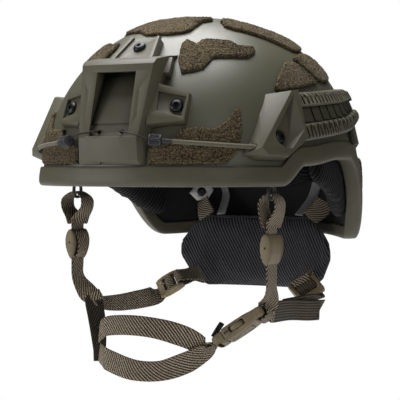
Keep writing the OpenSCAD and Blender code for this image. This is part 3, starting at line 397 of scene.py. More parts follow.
def tube(name, points, d, sides=16, n=80, side=1, ends=True, up=(0, 0, 1)):
    """Round cord along a route, with rounded ends and its surface measured in centimetres."""
    path = route(points, n)
    h = headings(path)
    u = unit(np.cross(h, up))
    v = np.cross(h, u)
    a = np.linspace(0, FULL_TURN, sides, endpoint=False)
    s = travelled(path)
    r = np.full(len(path), d / 2)
    if ends:
        r *= np.sqrt(np.clip(1 - np.clip(1 - np.minimum(s, s[-1] - s) / (d * 0.3), 0, 1) ** 2 * 0.75, 0, 1))
    circle = u[:, None] * np.cos(a)[None, :, None] + v[:, None] * np.sin(a)[None, :, None]
    rings = path[:, None] + r[:, None, None] * circle
    uv = np.stack(np.broadcast_arrays((a / FULL_TURN)[None], s[:, None] / 10), -1)
    return loft(name, rings, uv=uv, side=side), path


def rounded(profile, radius, steps):
    """Outline with each corner replaced by a few points of a quadratic curve that starts radius away from it."""
    p = np.asarray(profile, float)
    before, after = np.roll(p, 1, 0), np.roll(p, -1, 0)
    la, lb = np.linalg.norm(before - p, axis=1), np.linalg.norm(after - p, axis=1)
    ra, rb = np.minimum(radius, la * 0.45)[:, None], np.minimum(radius, lb * 0.45)[:, None]
    a, b = p + unit(before - p) * ra, p + unit(after - p) * rb
    x = np.linspace(0, 1, steps)[None, :, None]
    curve = (1 - x) ** 2 * a[:, None] + 2 * x * (1 - x) * p[:, None] + x ** 2 * b[:, None]
    return curve.reshape(-1, p.shape[1])


def placed(place, grid):
    """A grid of points put in place by a function of a plain list of points."""
    return place(grid.reshape(-1, 3)).reshape(grid.shape)


def rounded_box(power, m):
    """Even points round the curve |a|^p + |b|^p = 1, anticlockwise."""
    q = np.linspace(0, FULL_TURN, 3000)
    c, d = np.cos(q), np.sin(q)
    curve = np.stack([np.sign(c) * np.abs(c) ** (2 / power), np.sign(d) * np.abs(d) ** (2 / power)], -1)
    s = travelled(curve)
    even = np.linspace(0, s[-1], m, endpoint=False)
    return np.stack([np.interp(even, s, curve[:, k]) for k in (0, 1)], -1)


def bar(name, place, stations, power, n, m, relief=None):
    """Moulded bar: a rounded box section whose half sizes follow stations of distance, half width, half depth.

    relief gives how far the surface sinks at each distance along and across. place puts points in the frame.
    """
    a = np.asarray(stations, float)
    s = np.linspace(a[0, 0], a[-1, 0], n + 1)
    s = np.unique(np.concatenate([s, a[:, 0]]))
    half = np.stack([np.interp(s, a[:, 0], a[:, k]) for k in (1, 2)], -1)
    for k in range(2):
        half[1:-1] = (half[:-2] + 2 * half[1:-1] + half[2:]) / 4
    ring = rounded_box(power, m)
    y, z = half[:, :1] * ring[None, :, 0], half[:, 1:] * ring[None, :, 1]
    x = np.broadcast_to(s[:, None], y.shape)
    if relief is not None:
        z = z - np.sign(z) * relief(x, y) * (np.abs(ring[None, :, 1]) > 0.8)
    points = np.stack([x, y, z], -1)
    return loft(name, placed(place, points))


def cut(obj, boxes, place):
    """Takes boxes, each given by two corners in the piece's own frame, out of it."""
    corner = np.array([[0, 0, 0], [1, 0, 0], [1, 1, 0], [0, 1, 0], [0, 0, 1], [1, 0, 1], [1, 1, 1], [0, 1, 1]])
    sides = np.array([[0, 3, 2, 1], [4, 5, 6, 7], [0, 1, 5, 4], [1, 2, 6, 5], [2, 3, 7, 6], [3, 0, 4, 7]])
    spans = [(np.array(low, float), np.array(high, float)) for low, high in boxes]
    points = np.concatenate([place(low + corner * (high - low)) for low, high in spans])
    take_away(obj, build("cutter", points, [np.concatenate([sides + 8 * k for k in range(len(spans))])]), True)


# ---------------------------------------------------------------- materials


class Value:
    """A number or colour socket that takes part in Python sums, which become Math nodes."""

    def __init__(self, shader, socket):
        self.shader, self.socket = shader, socket

    def math(self, operation, *others):
        """The result of a Math node on this value and the others."""
        return self.shader.node("Math", {"operation": operation}, self, *others)

    def __add__(self, x):
        return self.math("ADD", x)

    def __sub__(self, x):
        return self.math("SUBTRACT", x)

    def __mul__(self, x):
        return self.math("MULTIPLY", x)

    def __rsub__(self, x):
        return self.shader.node("Math", {"operation": "SUBTRACT"}, x, self)

    __radd__ = __add__
    __rmul__ = __mul__

    def sin(self):
        return self.math("SINE")

    def abs(self):
        return self.math("ABSOLUTE")

    def most(self, x):
        """The larger of the two."""
        return self.math("MAXIMUM", x)

    def between(self, low, high):
        """0 below low, 1 above high, smooth between them."""
        return self.shader.node("MapRange", {"interpolation_type": "SMOOTHSTEP"}, self, low, high, 0.0, 1.0)

    def part(self, index):
        """One coordinate of a point, 0 for x."""
        return self.shader.node("SeparateXYZ", {}, self, output=index)


class Shader:
    """A material and the nodes that feed its one Principled shader."""

    def __init__(self, name, **constants):
        self.material = bpy.data.materials.new(name)
        self.material.use_nodes = True
        self.nodes, self.links = self.material.node_tree.nodes, self.material.node_tree.links
        self.out = next(n for n in self.nodes if n.type == "BSDF_PRINCIPLED")
        for key, value in constants.items():
            self.out.inputs[key.replace("_", " ").title().replace("Ior", "IOR")].default_value = value
        self.coords = {}

    def node(self, kind, settings, *inputs, output=0, **named):
        """Adds a node, sets what it is before its inputs, and returns one of its outputs."""
        node = self.nodes.new("ShaderNode" + kind)
        for key, value in settings.items():
            setattr(node, key, value)
        for key, value in list(enumerate(inputs)) + list(named.items()):
            socket = node.inputs[key if isinstance(key, int) else key.replace("_", " ")]
            if isinstance(value, Value):
                self.links.new(value.socket, socket)
            elif value is not None:
                socket.default_value = value
        return Value(self, node.outputs[output])

    def object_point(self):
        """Place on the piece in metres."""
        return self.node("TexCoord", {}, output="Object")

    def weave_point(self):
        """Place on the cloth in centimetres across and along."""
        return self.node("UVMap", {"uv_map": "weave"})

    def noise(self, point, size, detail=3.0, roughness=0.55, stretch=None):
        """Cloudy pattern whose blots are about size millimetres across."""
        if stretch:
            point = self.node("VectorMath", {"operation": "MULTIPLY"}, point, stretch)
        return self.node("TexNoise", {}, Vector=point, Scale=PER_MM / size, Detail=detail, Roughness=roughness)

    def cell(self, point, size):
        """Distance to the middle of the nearest of scattered cells, each about size millimetres across."""
        return self.node("TexVoronoi", {"feature": "F1"}, Vector=point, Scale=PER_MM / size)

    def mix(self, factor, a, b):
        """Colour between a and b."""
        node = self.nodes.new("ShaderNodeMix")
        node.data_type, node.blend_type = "RGBA", "MIX"
        for index, value in ((0, factor), (6, a), (7, b)):
            if isinstance(value, Value):
                self.links.new(value.socket, node.inputs[index])
            elif index == 0:
                node.inputs[index].default_value = value
            else:
                node.inputs[index].default_value = (*value, 1) if len(value) == 3 else value
        return Value(self, node.outputs[2])

    def grime(self, base, reach=9.0, least=0.3):
        """The colour with painted shade: darkened where other surfaces stand close, where shade gathers in corners.
        """
        # Painted shade: an ambient occlusion mask darkens the base colour.
        open_sky = self.node("AmbientOcclusion", {"samples": 6}, Distance=reach * MM, output="AO")
        return self.mix((1 - open_sky.between(0.05, 0.85)) * (1 - least), base, PAINTED_SHADE_GREY)

    def put(self, **values):
        """Feeds the shader: base, roughness, metallic or coat from sums, bump from a height in millimetres."""
        names = {"base": "Base Color", "roughness": "Roughness", "metallic": "Metallic", "coat": "Coat Weight"}
        for key, value in values.items():
            if key == "bump":
                normal = self.node("Bump", {}, Strength=1.0, Distance=MM, Height=value)
                self.links.new(normal.socket, self.out.inputs["Normal"])
            elif isinstance(value, Value):
                self.links.new(value.socket, self.out.inputs[names[key]])
            else:
                self.out.inputs[names[key]].default_value = (*value, 1) if key == "base" else value
        return self.material


def shade(colour, k):
    """A colour made lighter or darker by k."""
    return tuple(min(1, c * k) for c in colour)


def paint_finish(colours):
    """Sprayed, slightly pebbled olive paint with faint clouding."""
    s = Shader("shell_paint", specular_ior_level=0.62)
    p = s.object_point()
    fine, broad = s.noise(p, 0.9, 2), s.noise(p, 38, 3)
    grain = s.noise(p, 0.35, 1)
    base = s.mix(broad.between(0.3, 0.7), shade(colours.paint, 0.93), shade(colours.paint, 1.05))
    base = s.mix(fine.between(0.35, 0.75), base, s.mix(0.5, base, shade(colours.paint, 1.18)))
    rub = s.noise(p, 9, 5, 0.7).between(0.62, 0.8)
    base = s.mix(rub * 0.25, base, shade(colours.paint, 1.3))
    inside = s.node("Attribute", {"attribute_name": "inside"}, output="Fac")
    base = s.mix(inside, base, (0.004, 0.004, 0.0045))
    # Painted shade darkens the paint where other surfaces stand close.
    return s.put(base=s.grime(base, 7.0, 0.35), roughness=(0.35 + fine * 0.14 + rub * 0.05).most(inside * 0.95),
                 bump=fine * 0.05 + grain * 0.02)


def polymer_finish(colours, name="moulded_olive", reach=11.0, least=0.12, painted_light_scale=1.0):
    """Moulded olive plastic with a fine spark-eroded texture, paler where it is handled."""
    s = Shader(name, specular_ior_level=0.45)
    p = s.object_point()
    fine, broad = s.noise(p, 0.5, 2), s.noise(p, 22, 4)
    scuff = s.noise(p, 5, 6, 0.75, (1, 1, 0.35)).between(0.6, 0.78)
    # The scale on both base colours brightens or darkens the whole olive: painted light and shade.
    base = s.mix(broad.between(0.3, 0.7), shade(colours.polymer, 0.9 * painted_light_scale), shade(colours.polymer, 1.06 * painted_light_scale))
    base = s.mix(scuff * 0.3, base, shade(colours.polymer, 1.35))
    # Painted shade where other surfaces stand close.
    return s.put(base=s.grime(base, reach, least), roughness=0.42 + fine * 0.18, bump=fine * 0.035 + scuff * 0.01)


def pile_finish(colours):
    """Loop pile: curled yarns close together, tan at the tips and brown between them."""
    s = Shader("loop_pile", roughness=0.95, specular_ior_level=0.1, sheen_weight=0.06, sheen_roughness=0.5)
    p = s.object_point()
    drift = s.node("TexNoise", {}, Vector=p, Scale=PER_MM / 1.6, output=1)
    drift = s.node("VectorMath", {"operation": "SCALE"}, drift, Scale=1.2 * MM)
    bent = s.node("VectorMath", {"operation": "ADD"}, p, drift)
    loops = s.cell(bent, 1.15)
    curl = s.noise(p, 0.55, 3, 0.7)
    clump = s.noise(p, 3.6, 4, 0.7)
    height = (1 - loops * 1.1).between(0.05, 0.85) * 0.6 + curl * 0.5
    tips = (height + clump * 0.5 - 0.25).between(0.3, 0.95)
    base = s.mix(tips, colours.pile_root, colours.pile)
    base = s.mix(s.noise(p, 1.4, 2).between(0.58, 0.72) * 0.5, base, shade(colours.pile, 1.35))
    base = s.mix(s.noise(p, 14, 3).between(0.4, 0.7) * 0.35, base, shade(colours.pile, 0.72))
    return s.put(base=base, bump=height * 0.9 + clump * 0.5)


def webbing_finish(name, light, dark, rib=2.5, along=0.72):
    """Twill tape: slanting ribs over a darker ground, with the threads across them, partly yarn colour, partly
    painted light and shade.
    """
    s = Shader(name, roughness=0.85, specular_ior_level=0.2, sheen_weight=0.12, sheen_roughness=0.4)
    p = s.weave_point()
    u, v = p.part(0), p.part(1)
    wobble = s.noise(p, 200, 2) * 0.5
    ribs = ((u + v * along) * (10 / rib) * FULL_TURN + wobble).sin() * 0.5 + 0.5
    threads = ((u * along - v) * (10 / 1.1) * FULL_TURN).sin() * 0.5 + 0.5
    edge = (u.abs() * 10).between(7.0, 7.9)
    yarn = ribs.between(0.2, 0.7) * (0.55 + threads * 0.45)
    fluff = s.noise(s.object_point(), 0.6, 2)
    # Ribs lighter than the ground: partly the yarns' colour, partly painted highlight on the ribs and painted shade
    # between them.
    base = s.mix(yarn, dark, light)
    base = s.mix(fluff.between(0.35, 0.7) * 0.4, base, shade(dark, 0.8))
    base = s.mix(edge * 0.35, base, dark)
    # Painted shade where other surfaces stand close.
    return s.put(base=s.grime(base, 4.0, 0.6), bump=yarn * 0.34 + threads * 0.07 + fluff * 0.08)


def plastic_finish(colours, name="buckle_plastic", painted_light_scale=1.0):
    """Tan acetal, slightly waxy, with faint flow marks and scuffed edges."""
    s = Shader(name, specular_ior_level=0.4)
    p = s.object_point()
    fine, flow = s.noise(p, 0.6, 2), s.noise(p, 11, 4, 0.6, (1, 1, 0.4))
    # The scale on both base colours brightens or darkens the whole plastic: painted light.
    base = s.mix(flow.between(0.3, 0.75), shade(colours.plastic, 0.84 * painted_light_scale), shade(colours.plastic, 1.08 * painted_light_scale))
    base = s.mix(s.noise(p, 2.2, 5, 0.8).between(0.62, 0.8) * 0.3, base, shade(colours.plastic, 1.3))
    # Painted shade where other surfaces stand close.
    return s.put(base=s.grime(base, 4.0, 0.25), roughness=0.45 + fine * 0.15, bump=fine * 0.03)


def fabric_finish(name, colour, rib, lean, cross, bright, gloss=1.0):
    """Black spacer mesh: soft ribs, each knitted from rows of small stitches with holes between them."""
    s = Shader(name, specular_ior_level=0.3 * gloss, sheen_weight=0.1 * gloss, sheen_roughness=0.35)
    p = s.weave_point()
    u, v = p.part(0) * 10, p.part(1) * 10
    ribs = ((u + v * lean) * (FULL_TURN / rib)).sin() * 0.5 + 0.5
    stitch = (v * (FULL_TURN / cross) + ribs * 1.2).sin() * 0.5 + 0.5
    knit = ribs.between(0.1, 0.9) * (0.68 + stitch * 0.32)
    fluff = s.noise(s.object_point(), 0.7, 2)
    base = s.mix((knit * 0.85 + fluff * 0.15).between(0.25, 0.9), shade(colour, 0.12), shade(colour, bright))
    return s.put(base=base, roughness=0.85 - knit * 0.3, bump=knit * 0.9 + fluff * 0.1)


def felt_finish(name, colour):
    """Plain woven black cloth with a short nap, for bindings and pad backs."""
    s = Shader(name, roughness=0.9, specular_ior_level=0.2, sheen_weight=0.2)
    p = s.object_point()
    fine, nap = s.cell(p, 0.8), s.noise(p, 0.5, 3)
    base = s.mix(nap.between(0.3, 0.7), shade(colour, 0.5), shade(colour, 1.3))
    return s.put(base=base, bump=fine * -0.12 + nap * 0.12)


def metal_finish(name, colour, roughness, metallic=1.0, size=0.5, height=0.01):
    """Metal with a fine tumbled surface and a little grime in its hollows."""
    s = Shader(name, metallic=metallic, specular_ior_level=0.5)
    p = s.object_point()
    fine, grime = s.noise(p, size, 3), s.noise(p, 4, 4, 0.7)
    base = s.mix(grime.between(0.45, 0.75) * 0.5, colour, shade(colour, 0.55))
    return s.put(base=base, roughness=roughness + grime * 0.14, bump=fine * height)


def braid_finish(name, colour):
    """Braided cover of an elastic cord: two sets of strands crossing on the slant."""
    s = Shader(name, roughness=0.75, specular_ior_level=0.3, sheen_weight=0.1)
    p = s.weave_point()
    u, v = p.part(0) * (FULL_TURN * 6), p.part(1) * (10 / 1.6 * FULL_TURN)
    a, b = (u + v).sin() * 0.5 + 0.5, (u - v).sin() * 0.5 + 0.5
    strand = a.most(b)
    base = s.mix(strand.between(0.4, 1.0), shade(colour, 0.45), shade(colour, 1.25))
    return s.put(base=base, bump=strand * 0.22)


FINISHES = {}


def finish(name):
    """The finish of that name, made on first use from the scene's colours."""
    if name not in FINISHES:
        c = {k: tuple(getattr(bpy.context.scene.helmet_colours, k)) for k in HelmetColours.__annotations__}
        colours = type("Colours", (), c)
        light, dark = colours.web_light, colours.web_dark
        makers = {
            "paint": lambda: paint_finish(colours),
            "polymer": lambda: polymer_finish(colours),
            # Olive for the rails with stronger, wider painted shade in their slots and pockets.
            "recess": lambda: polymer_finish(colours, "recessed_olive", 24.0, 0.02),
            # Olive of the window's insert, darkened to 0.7 as painted shade, with strong painted shade in its
            # corners.
            "insert": lambda: polymer_finish(colours, "insert_olive", 24.0, 0.02, 0.7),
            "pile": lambda: pile_finish(colours),
            "webbing": lambda: webbing_finish("twill_webbing", light, dark),
            # Upright chin web: the webbing's colours darkened as painted shade, for a web seen edge-on.
            "dark_webbing": lambda: webbing_finish("dark_webbing", shade(light, 0.16), shade(dark, 0.5)),
            "rear_webbing": lambda: webbing_finish("ribbed_webbing", shade(light, 0.26), shade(dark, 1.15), 2.1, 0.0),
            "tail": lambda: webbing_finish("dark_tail", (0.03, 0.026, 0.022), (0.008, 0.007, 0.006), 1.6),
            "plastic": lambda: plastic_finish(colours),
            # Far ladder lock: the same plastic lightened 1.6 times, painted light.
            "painted_light_plastic": lambda: plastic_finish(colours, "worn_buckle_plastic", 1.6),
            "pad": lambda: fabric_finish("ribbed_mesh", colours.fabric, 3.2, 0.0, 1.8, 0.5, 0.35),
            "nape": lambda: fabric_finish("nape_mesh", colours.fabric, 2.7, 0.5, 1.9, 2.1),
            "binding": lambda: felt_finish("pad_binding", colours.fabric),
            "thread": lambda: felt_finish("pale_thread", (0.3, 0.28, 0.26)),
            "black": lambda: metal_finish("blackened_steel", (0.035, 0.035, 0.037), 0.3, 0.9),
            "steel": lambda: metal_finish("spring_wire", (0.035, 0.031, 0.028), 0.35),
            "grip": lambda: metal_finish("grip_black", (0.028, 0.027, 0.032), 0.5, 0.1),
            "plate": lambda: metal_finish("tumbled_plate", (0.52, 0.51, 0.50), 0.38, 0.85, 0.4, 0.02),
            "stay": lambda: felt_finish("stay_tape", (0.24, 0.24, 0.24)),
            "cord": lambda: braid_finish("braided_cord", (0.14, 0.125, 0.085)),
            "hard_black": lambda: metal_finish("hard_black_plastic", (0.016, 0.016, 0.018), 0.4, 0.0),
        }
        FINISHES[name] = makers[name]()
    return FINISHES[name]


# ---------------------------------------------------------------- stage and camera


class HELMET_OT_stage(bpy.types.Operator):
    """Camera at the photograph's angle, plain floor, white surroundings and soft lamps"""

    bl_idname = "helmet.stage"
    bl_label = "Stage"

    def lamp(self, name, place, target, size, energy):
        """Round soft lamp that points at the target."""
        data = bpy.data.lights.new(name, "AREA")
        data.shape, data.size, data.energy = "DISK", size, energy
        obj = linked(name, data)
        obj.location = place
        obj.rotation_euler = (Vector(target) - Vector(place)).to_track_quat("-Z", "Y").to_euler()

    def execute(self, context):
        scene = context.scene
        scene.view_settings.view_transform = "Standard"
        azimuth, elevation, distance = math.radians(30), math.radians(0.73), 1.1885
        px_per_mm, frame_px, shift_px = 1.23, 400, (-6.3, -13.25)
        data = bpy.data.cameras.new("camera")
        data.sensor_width = SENSOR
        data.lens = SENSOR * distance * PER_MM / (frame_px / px_per_mm)
        data.shift_x, data.shift_y = shift_px[0] / frame_px, shift_px[1] / frame_px
        data.clip_start, data.clip_end = 0.05, 60
        camera = linked("camera", data)
        camera.location = (distance * math.sin(azimuth) * math.cos(elevation),
                           -distance * math.cos(azimuth) * math.cos(elevation), distance * math.sin(elevation))
        camera.rotation_euler = (math.pi / 2 - elevation, 0, azimuth)
        scene.camera = camera

        world = bpy.data.worlds.new("surroundings")
        world.use_nodes = True
        nodes, links = world.node_tree.nodes, world.node_tree.links
        back = next(n for n in nodes if n.type == "BACKGROUND")
        back.inputs["Color"].default_value = (1, 1, 1, 1)
        path = nodes.new("ShaderNodeLightPath")
        seen = nodes.new("ShaderNodeMath")
        seen.operation = "MAXIMUM"
        links.new(path.outputs["Is Camera Ray"], seen.inputs[0])
        links.new(path.outputs["Is Transmission Ray"], seen.inputs[1])
        level = nodes.new("ShaderNodeMapRange")
        level.inputs["To Min"].default_value = 0.1
        level.inputs["To Max"].default_value = 1.0
        links.new(seen.outputs[0], level.inputs["Value"])
        links.new(level.outputs[0], back.inputs["Strength"])
        scene.world = world

        floor_z, reach = -260.0, 9000.0
        spread = np.array([[-1, -1], [1, -1], [1, 1], [-1, 1]]) * reach
        floor = build("floor", np.insert(spread, 2, floor_z, axis=1), [np.array([[0, 1, 2, 3]])])
        s = Shader("floor_white", roughness=0.9, specular_ior_level=0.1)
        s.out.inputs["Base Color"].default_value = (0.8, 0.8, 0.8, 1)
        camera_ray = s.node("LightPath", {}, output="Is Camera Ray")
        glow = s.node("Emission", {}, (1, 1, 1, 1), 1.0)
        blend = s.nodes.new("ShaderNodeMixShader")
        s.links.new(camera_ray.socket, blend.inputs[0])
        s.links.new(s.out.outputs[0], blend.inputs[1])
        s.links.new(glow.socket, blend.inputs[2])
        surface = next(n for n in s.nodes if n.type == "OUTPUT_MATERIAL")
        s.links.new(blend.outputs[0], surface.inputs["Surface"])
        floor.data.materials.append(s.material)

        self.lamp("key", (-0.22, 0.12, 1.25), (0, 0, 0.05), 1.3, 36.5)
        self.lamp("front_left", (-1.0, -1.2, 0.2), (0, 0, -0.05), 0.7, 8)
        self.lamp("right", (1.3, -0.9, 0.6), (0, 0, 0), 0.7, 3.5)
        return {"FINISHED"}


# ---------------------------------------------------------------- lanyards

CORD_ROUTE = [(20.3, 34.3, 6.2), (24, 33.6, 5.4), (30, 32.6, 5.3), (36, 31.6, 5.3), (41, 30.9, 5), (46, 30.4, 4.8)]
GRIP_FROM, GRIP_TO = (13.6, 35.5, 9.4), (17.2, 34.8, 7.6)
FRONT_LOW_GAP = 4.5
WINDOW_LOW, PLATE_GAP = 38.5, 3.4


def turned(profile, start, end, sides, ridges=0, depth=0.0, extent=None):
    """Turned piece between two points: distance along and radius pairs, with even ridges cut along its sides."""
    axis = unit(np.subtract(end, start))
    u = unit(np.cross(axis, [0, 0, 1]))
    v = np.cross(axis, u)
    a = np.linspace(0, FULL_TURN, sides, endpoint=False)
    s, r = np.asarray(profile, float).T
    share = np.zeros_like(s) if extent is None else ease((s - extent[0]) / 0.3) * ease((extent[1] - s) / 0.3)
    radius = r[:, None] - depth * share[:, None] * (0.5 - 0.5 * np.cos(ridges * a))[None]
    return (np.asarray(start) + axis * s[:, None, None]
            + radius[..., None] * (u * np.cos(a)[:, None] + v * np.sin(a)[:, None])[None])


class HELMET_OT_lanyards(bpy.types.Operator):
    """Elastic cords with crimped ferrule, knurled grip and wire hook, each side of the shroud"""

    bl_idname = "helmet.lanyards"
    bl_label = "Lanyards"

    def execute(self, context):
        form = Form(context.scene.helmet_sizes)
        grip_d = 8.6
        ferrules, hooks, cords = [], [], []
        for side, name in SIDES:
            points = np.array([form.skin(*p) for p in CORD_ROUTE])
            cord, path = tube("bungee_" + name, points, form.cord_d, 20, 70, side, ends=False)
            finish_piece(cord, finish("cord"), nodes=["bungee_" + name])
            cords.append((cord, path * [side, 1, 1]))
            start, end = form.skin(*GRIP_FROM), form.skin(*GRIP_TO)
            size = float(np.linalg.norm(end - start))
            full = [(s, grip_d / 2) for s in (0.35, 1, 1.3, size - 1.4, size - 1, size - 0.35)]
            rings = turned([(0, 1.2), (0, 3.6)] + full + [(size, 3.6), (size, 1.2)], start, end, 132, 22, 0.55,
                           (1.0, size - 1.0))
            dense = [np.linspace(a, b, 4)[:-1] for a, b in zip(rings[:-1], rings[1:])]
            grip = loft("lanyard_grip_" + name, np.concatenate(dense + [rings[-1:]]), side=side)
            finish_piece(smooth(grip, 45), finish("grip"), nodes=["lanyard_grip_" + name])
            first = points[0]
            way = unit(end - first)
            run = float(np.linalg.norm(end - first)) - 0.7
            s = np.linspace(0, run, 40)
            crimp = (0.5 - 0.5 * np.cos(FULL_TURN * s / 1.3)) * ease(s / 0.6) * ease((run - s) / 0.6)
            r = form.cord_d / 2 + 0.12 - 0.28 * crimp
            profile = [(0, 0.4)] + list(zip(s, r)) + [(run, 0.4)]
            ferrules.append(loft("ferrule", turned(profile, first + way * 0.2, end, 28), side=side))
            front_low = -form.shell_front - FRONT_LOW_GAP
            plate_y = -float(form.plan_r(0) * form.height_r(WINDOW_LOW))
            hook_x, hook_z = 10, 41.5
            wire_points = [(hook_x, plate_y - PLATE_GAP - 0.5, hook_z), (hook_x + 0.3, front_low + 1, hook_z + 0.3),
                           (hook_x + 3, front_low - 1, hook_z + 0.2), (23, front_low - 2.6, hook_z - 1.5),
                           (29, front_low - 1.6, hook_z - 3.5), tuple(start + [-0.2, -0.05, 0])]
            hooks.append(tube("wire", wire_points, 1.25, 12, 80, side)[0])
        ferrule = smooth(joined("lanyard_ferrules", ferrules), 40)
        finish_piece(ferrule, finish("grip"), nodes=["lanyard_ferrules"])
        finish_piece(joined("wire_hooks", hooks), finish("steel"), nodes=["wire_hooks"])
        for cord, path in cords:
            span = float(travelled(path)[-1]) * MM
            tuple(path[-1] * MM)
            [tuple(p) for p in path[::-1] * MM]
        return {"FINISHED"}


# ---------------------------------------------------------------- shell and trim


class HELMET_OT_shell(bpy.types.Operator):
    """Moulded bowl with its high ear cuts, painted outside and black inside"""

    bl_idname = "helmet.shell"
    bl_label = "Shell"

    def execute(self, context):
        form = Form(context.scene.helmet_sizes)
        m, rows = 420, 70
        t = np.arange(m) * 360 / m
        v = np.arange(rows) / rows
        layers = []
        for o in (-form.shell_wall, 0.0):
            low = form.z_lat(form.edge_z(t), o)
            s = lerp(low[None], 90.0, v[:, None])
            layers.append(form.skin(t[None], form.lat_z(s, o), o))
        inner, outer = layers
        points = np.concatenate([inner[::-1].reshape(-1, 3), outer.reshape(-1, 3),
                                 [[0, 0, form.shell_h - form.shell_wall], [0, 0, form.shell_h]]])
        quads = cells(2 * rows, m, wrap=True)
        top = 2 * rows * m
        j = np.arange(m)
        inside = np.stack([np.full(m, top), (j + 1) % m, j], -1)
        crown = np.stack([np.full(m, top + 1), (2 * rows - 1) * m + j, (2 * rows - 1) * m + (j + 1) % m], -1)
        shell = build("shell_bowl", points, [quads, inside, crown])
        # The shell's inside faces are marked for a near-black colour.
        inner_side = np.zeros(len(points), np.float32)
        inner_side[:rows * m] = inner_side[-2] = 1
        shell.data.attributes.new("inside", "FLOAT", "POINT").data.foreach_set("value", inner_side)
        finish_piece(shell, finish("paint"), nodes=["shell"])
        return {"FINISHED"}


class HELMET_OT_trim(bpy.types.Operator):
    """Moulded band that wraps the shell's edge, with a rolled lower lip"""

    bl_idname = "helmet.trim"
    bl_label = "Edge trim"

    def execute(self, context):
        form = Form(context.scene.helmet_sizes)
        profile = rounded([(0.25, 12.2), (1.9, 12.5), (2.5, 11.2), (3.0, 5), (3.0, 0.6), (1.7, -2.3), (-4, -2.6),
                           (-9.2, -2.3), (-10, 0.4), (-10, 8), (-8.3, 8), (-8.3, -0.28), (0.28, -0.28)], 1.4, 5)
        m = 720
        t = np.arange(m) * 360 / m
        rings = np.stack([form.edge_point(t, b, o) for o, b in profile], 1)
        finish_piece(loft("trim_band", rings, closed=True), finish("polymer"), nodes=["edge_trim"])
        return {"FINISHED"}


# ---------------------------------------------------------------- loop patches

CROWN_FRONT = [(-42, 62.5, 66), (-34, 61, 71), (-25, 61.3, 74), (-16, 61, 73), (-6.5, 58, 75), (8.5, 57.8, 76),
               (16, 58.6, 75), (20, 60, 74.2), (27, 69, 74.6), (36, 71.5, 74)]
CROWN_SIDE = [(43.5, 64.5, 70), (49, 62, 74), (57, 60.5, 73), (65, 58.5, 70.5), (73, 56.5, 69), (82, 53.5, 66.5),
              (92, 50.5, 64), (100, 50.5, 62), (108, 51.5, 60), (114, 53, 57)]
UPPER_SIDE = [(18.6, 43, 50.3), (19.6, 40.5, 52.3), (20.7, 37.2, 53.7), (25.5, 38.3, 51), (29, 39.2, 53.8),
              (33, 44.3, 53.8), (42.5, 44.7, 53), (45.5, 44.6, 50.3), (50, 44.9, 50.3), (54.5, 47.7, 50)]
EAR_PATCH = [(58, 30.4, 31.8), (62, 30.94, 36.64), (66, 31.48, 39.88), (70.5, 32.09, 42.89), (76, 32.84, 43.94),
             (80.5, 33.46, 43.56), (87, 34.35, 38.85), (92, 35.03, 35.63)]
BEHIND_EAR = [(84, 43.6, 46), (89, 40.3, 47.3), (95, 36.3, 48.6), (101, 35.9, 49.2), (107, 36.2, 49.2),
              (112, 37.5, 47.5), (117, 40, 45.8)]
LOWER_SIDE = [(12.5, 6.8, 11), (17, 6.7, 13), (21, 6.7, 14.5), (22.5, 6.7, 17.6), (29, 6.7, 17.7), (32.5, 6.7, 17.1),
              (36, 6.8, 19.5), (38, 8.4, 21.5), (39.6, 10, 23.4), (41.5, 16, 24)]
REAR_SMALL = [(126, 13.2, 18), (130, 12.5, 19), (136, 12.5, 19), (141, 14, 18)]
REAR_LARGE = [(124.5, 1.5, 7.5), (128, -2.5, 8.6), (132, -6.3, 9), (140, -6.5, 9.2), (148, -5, 9), (154, -3, 7)]


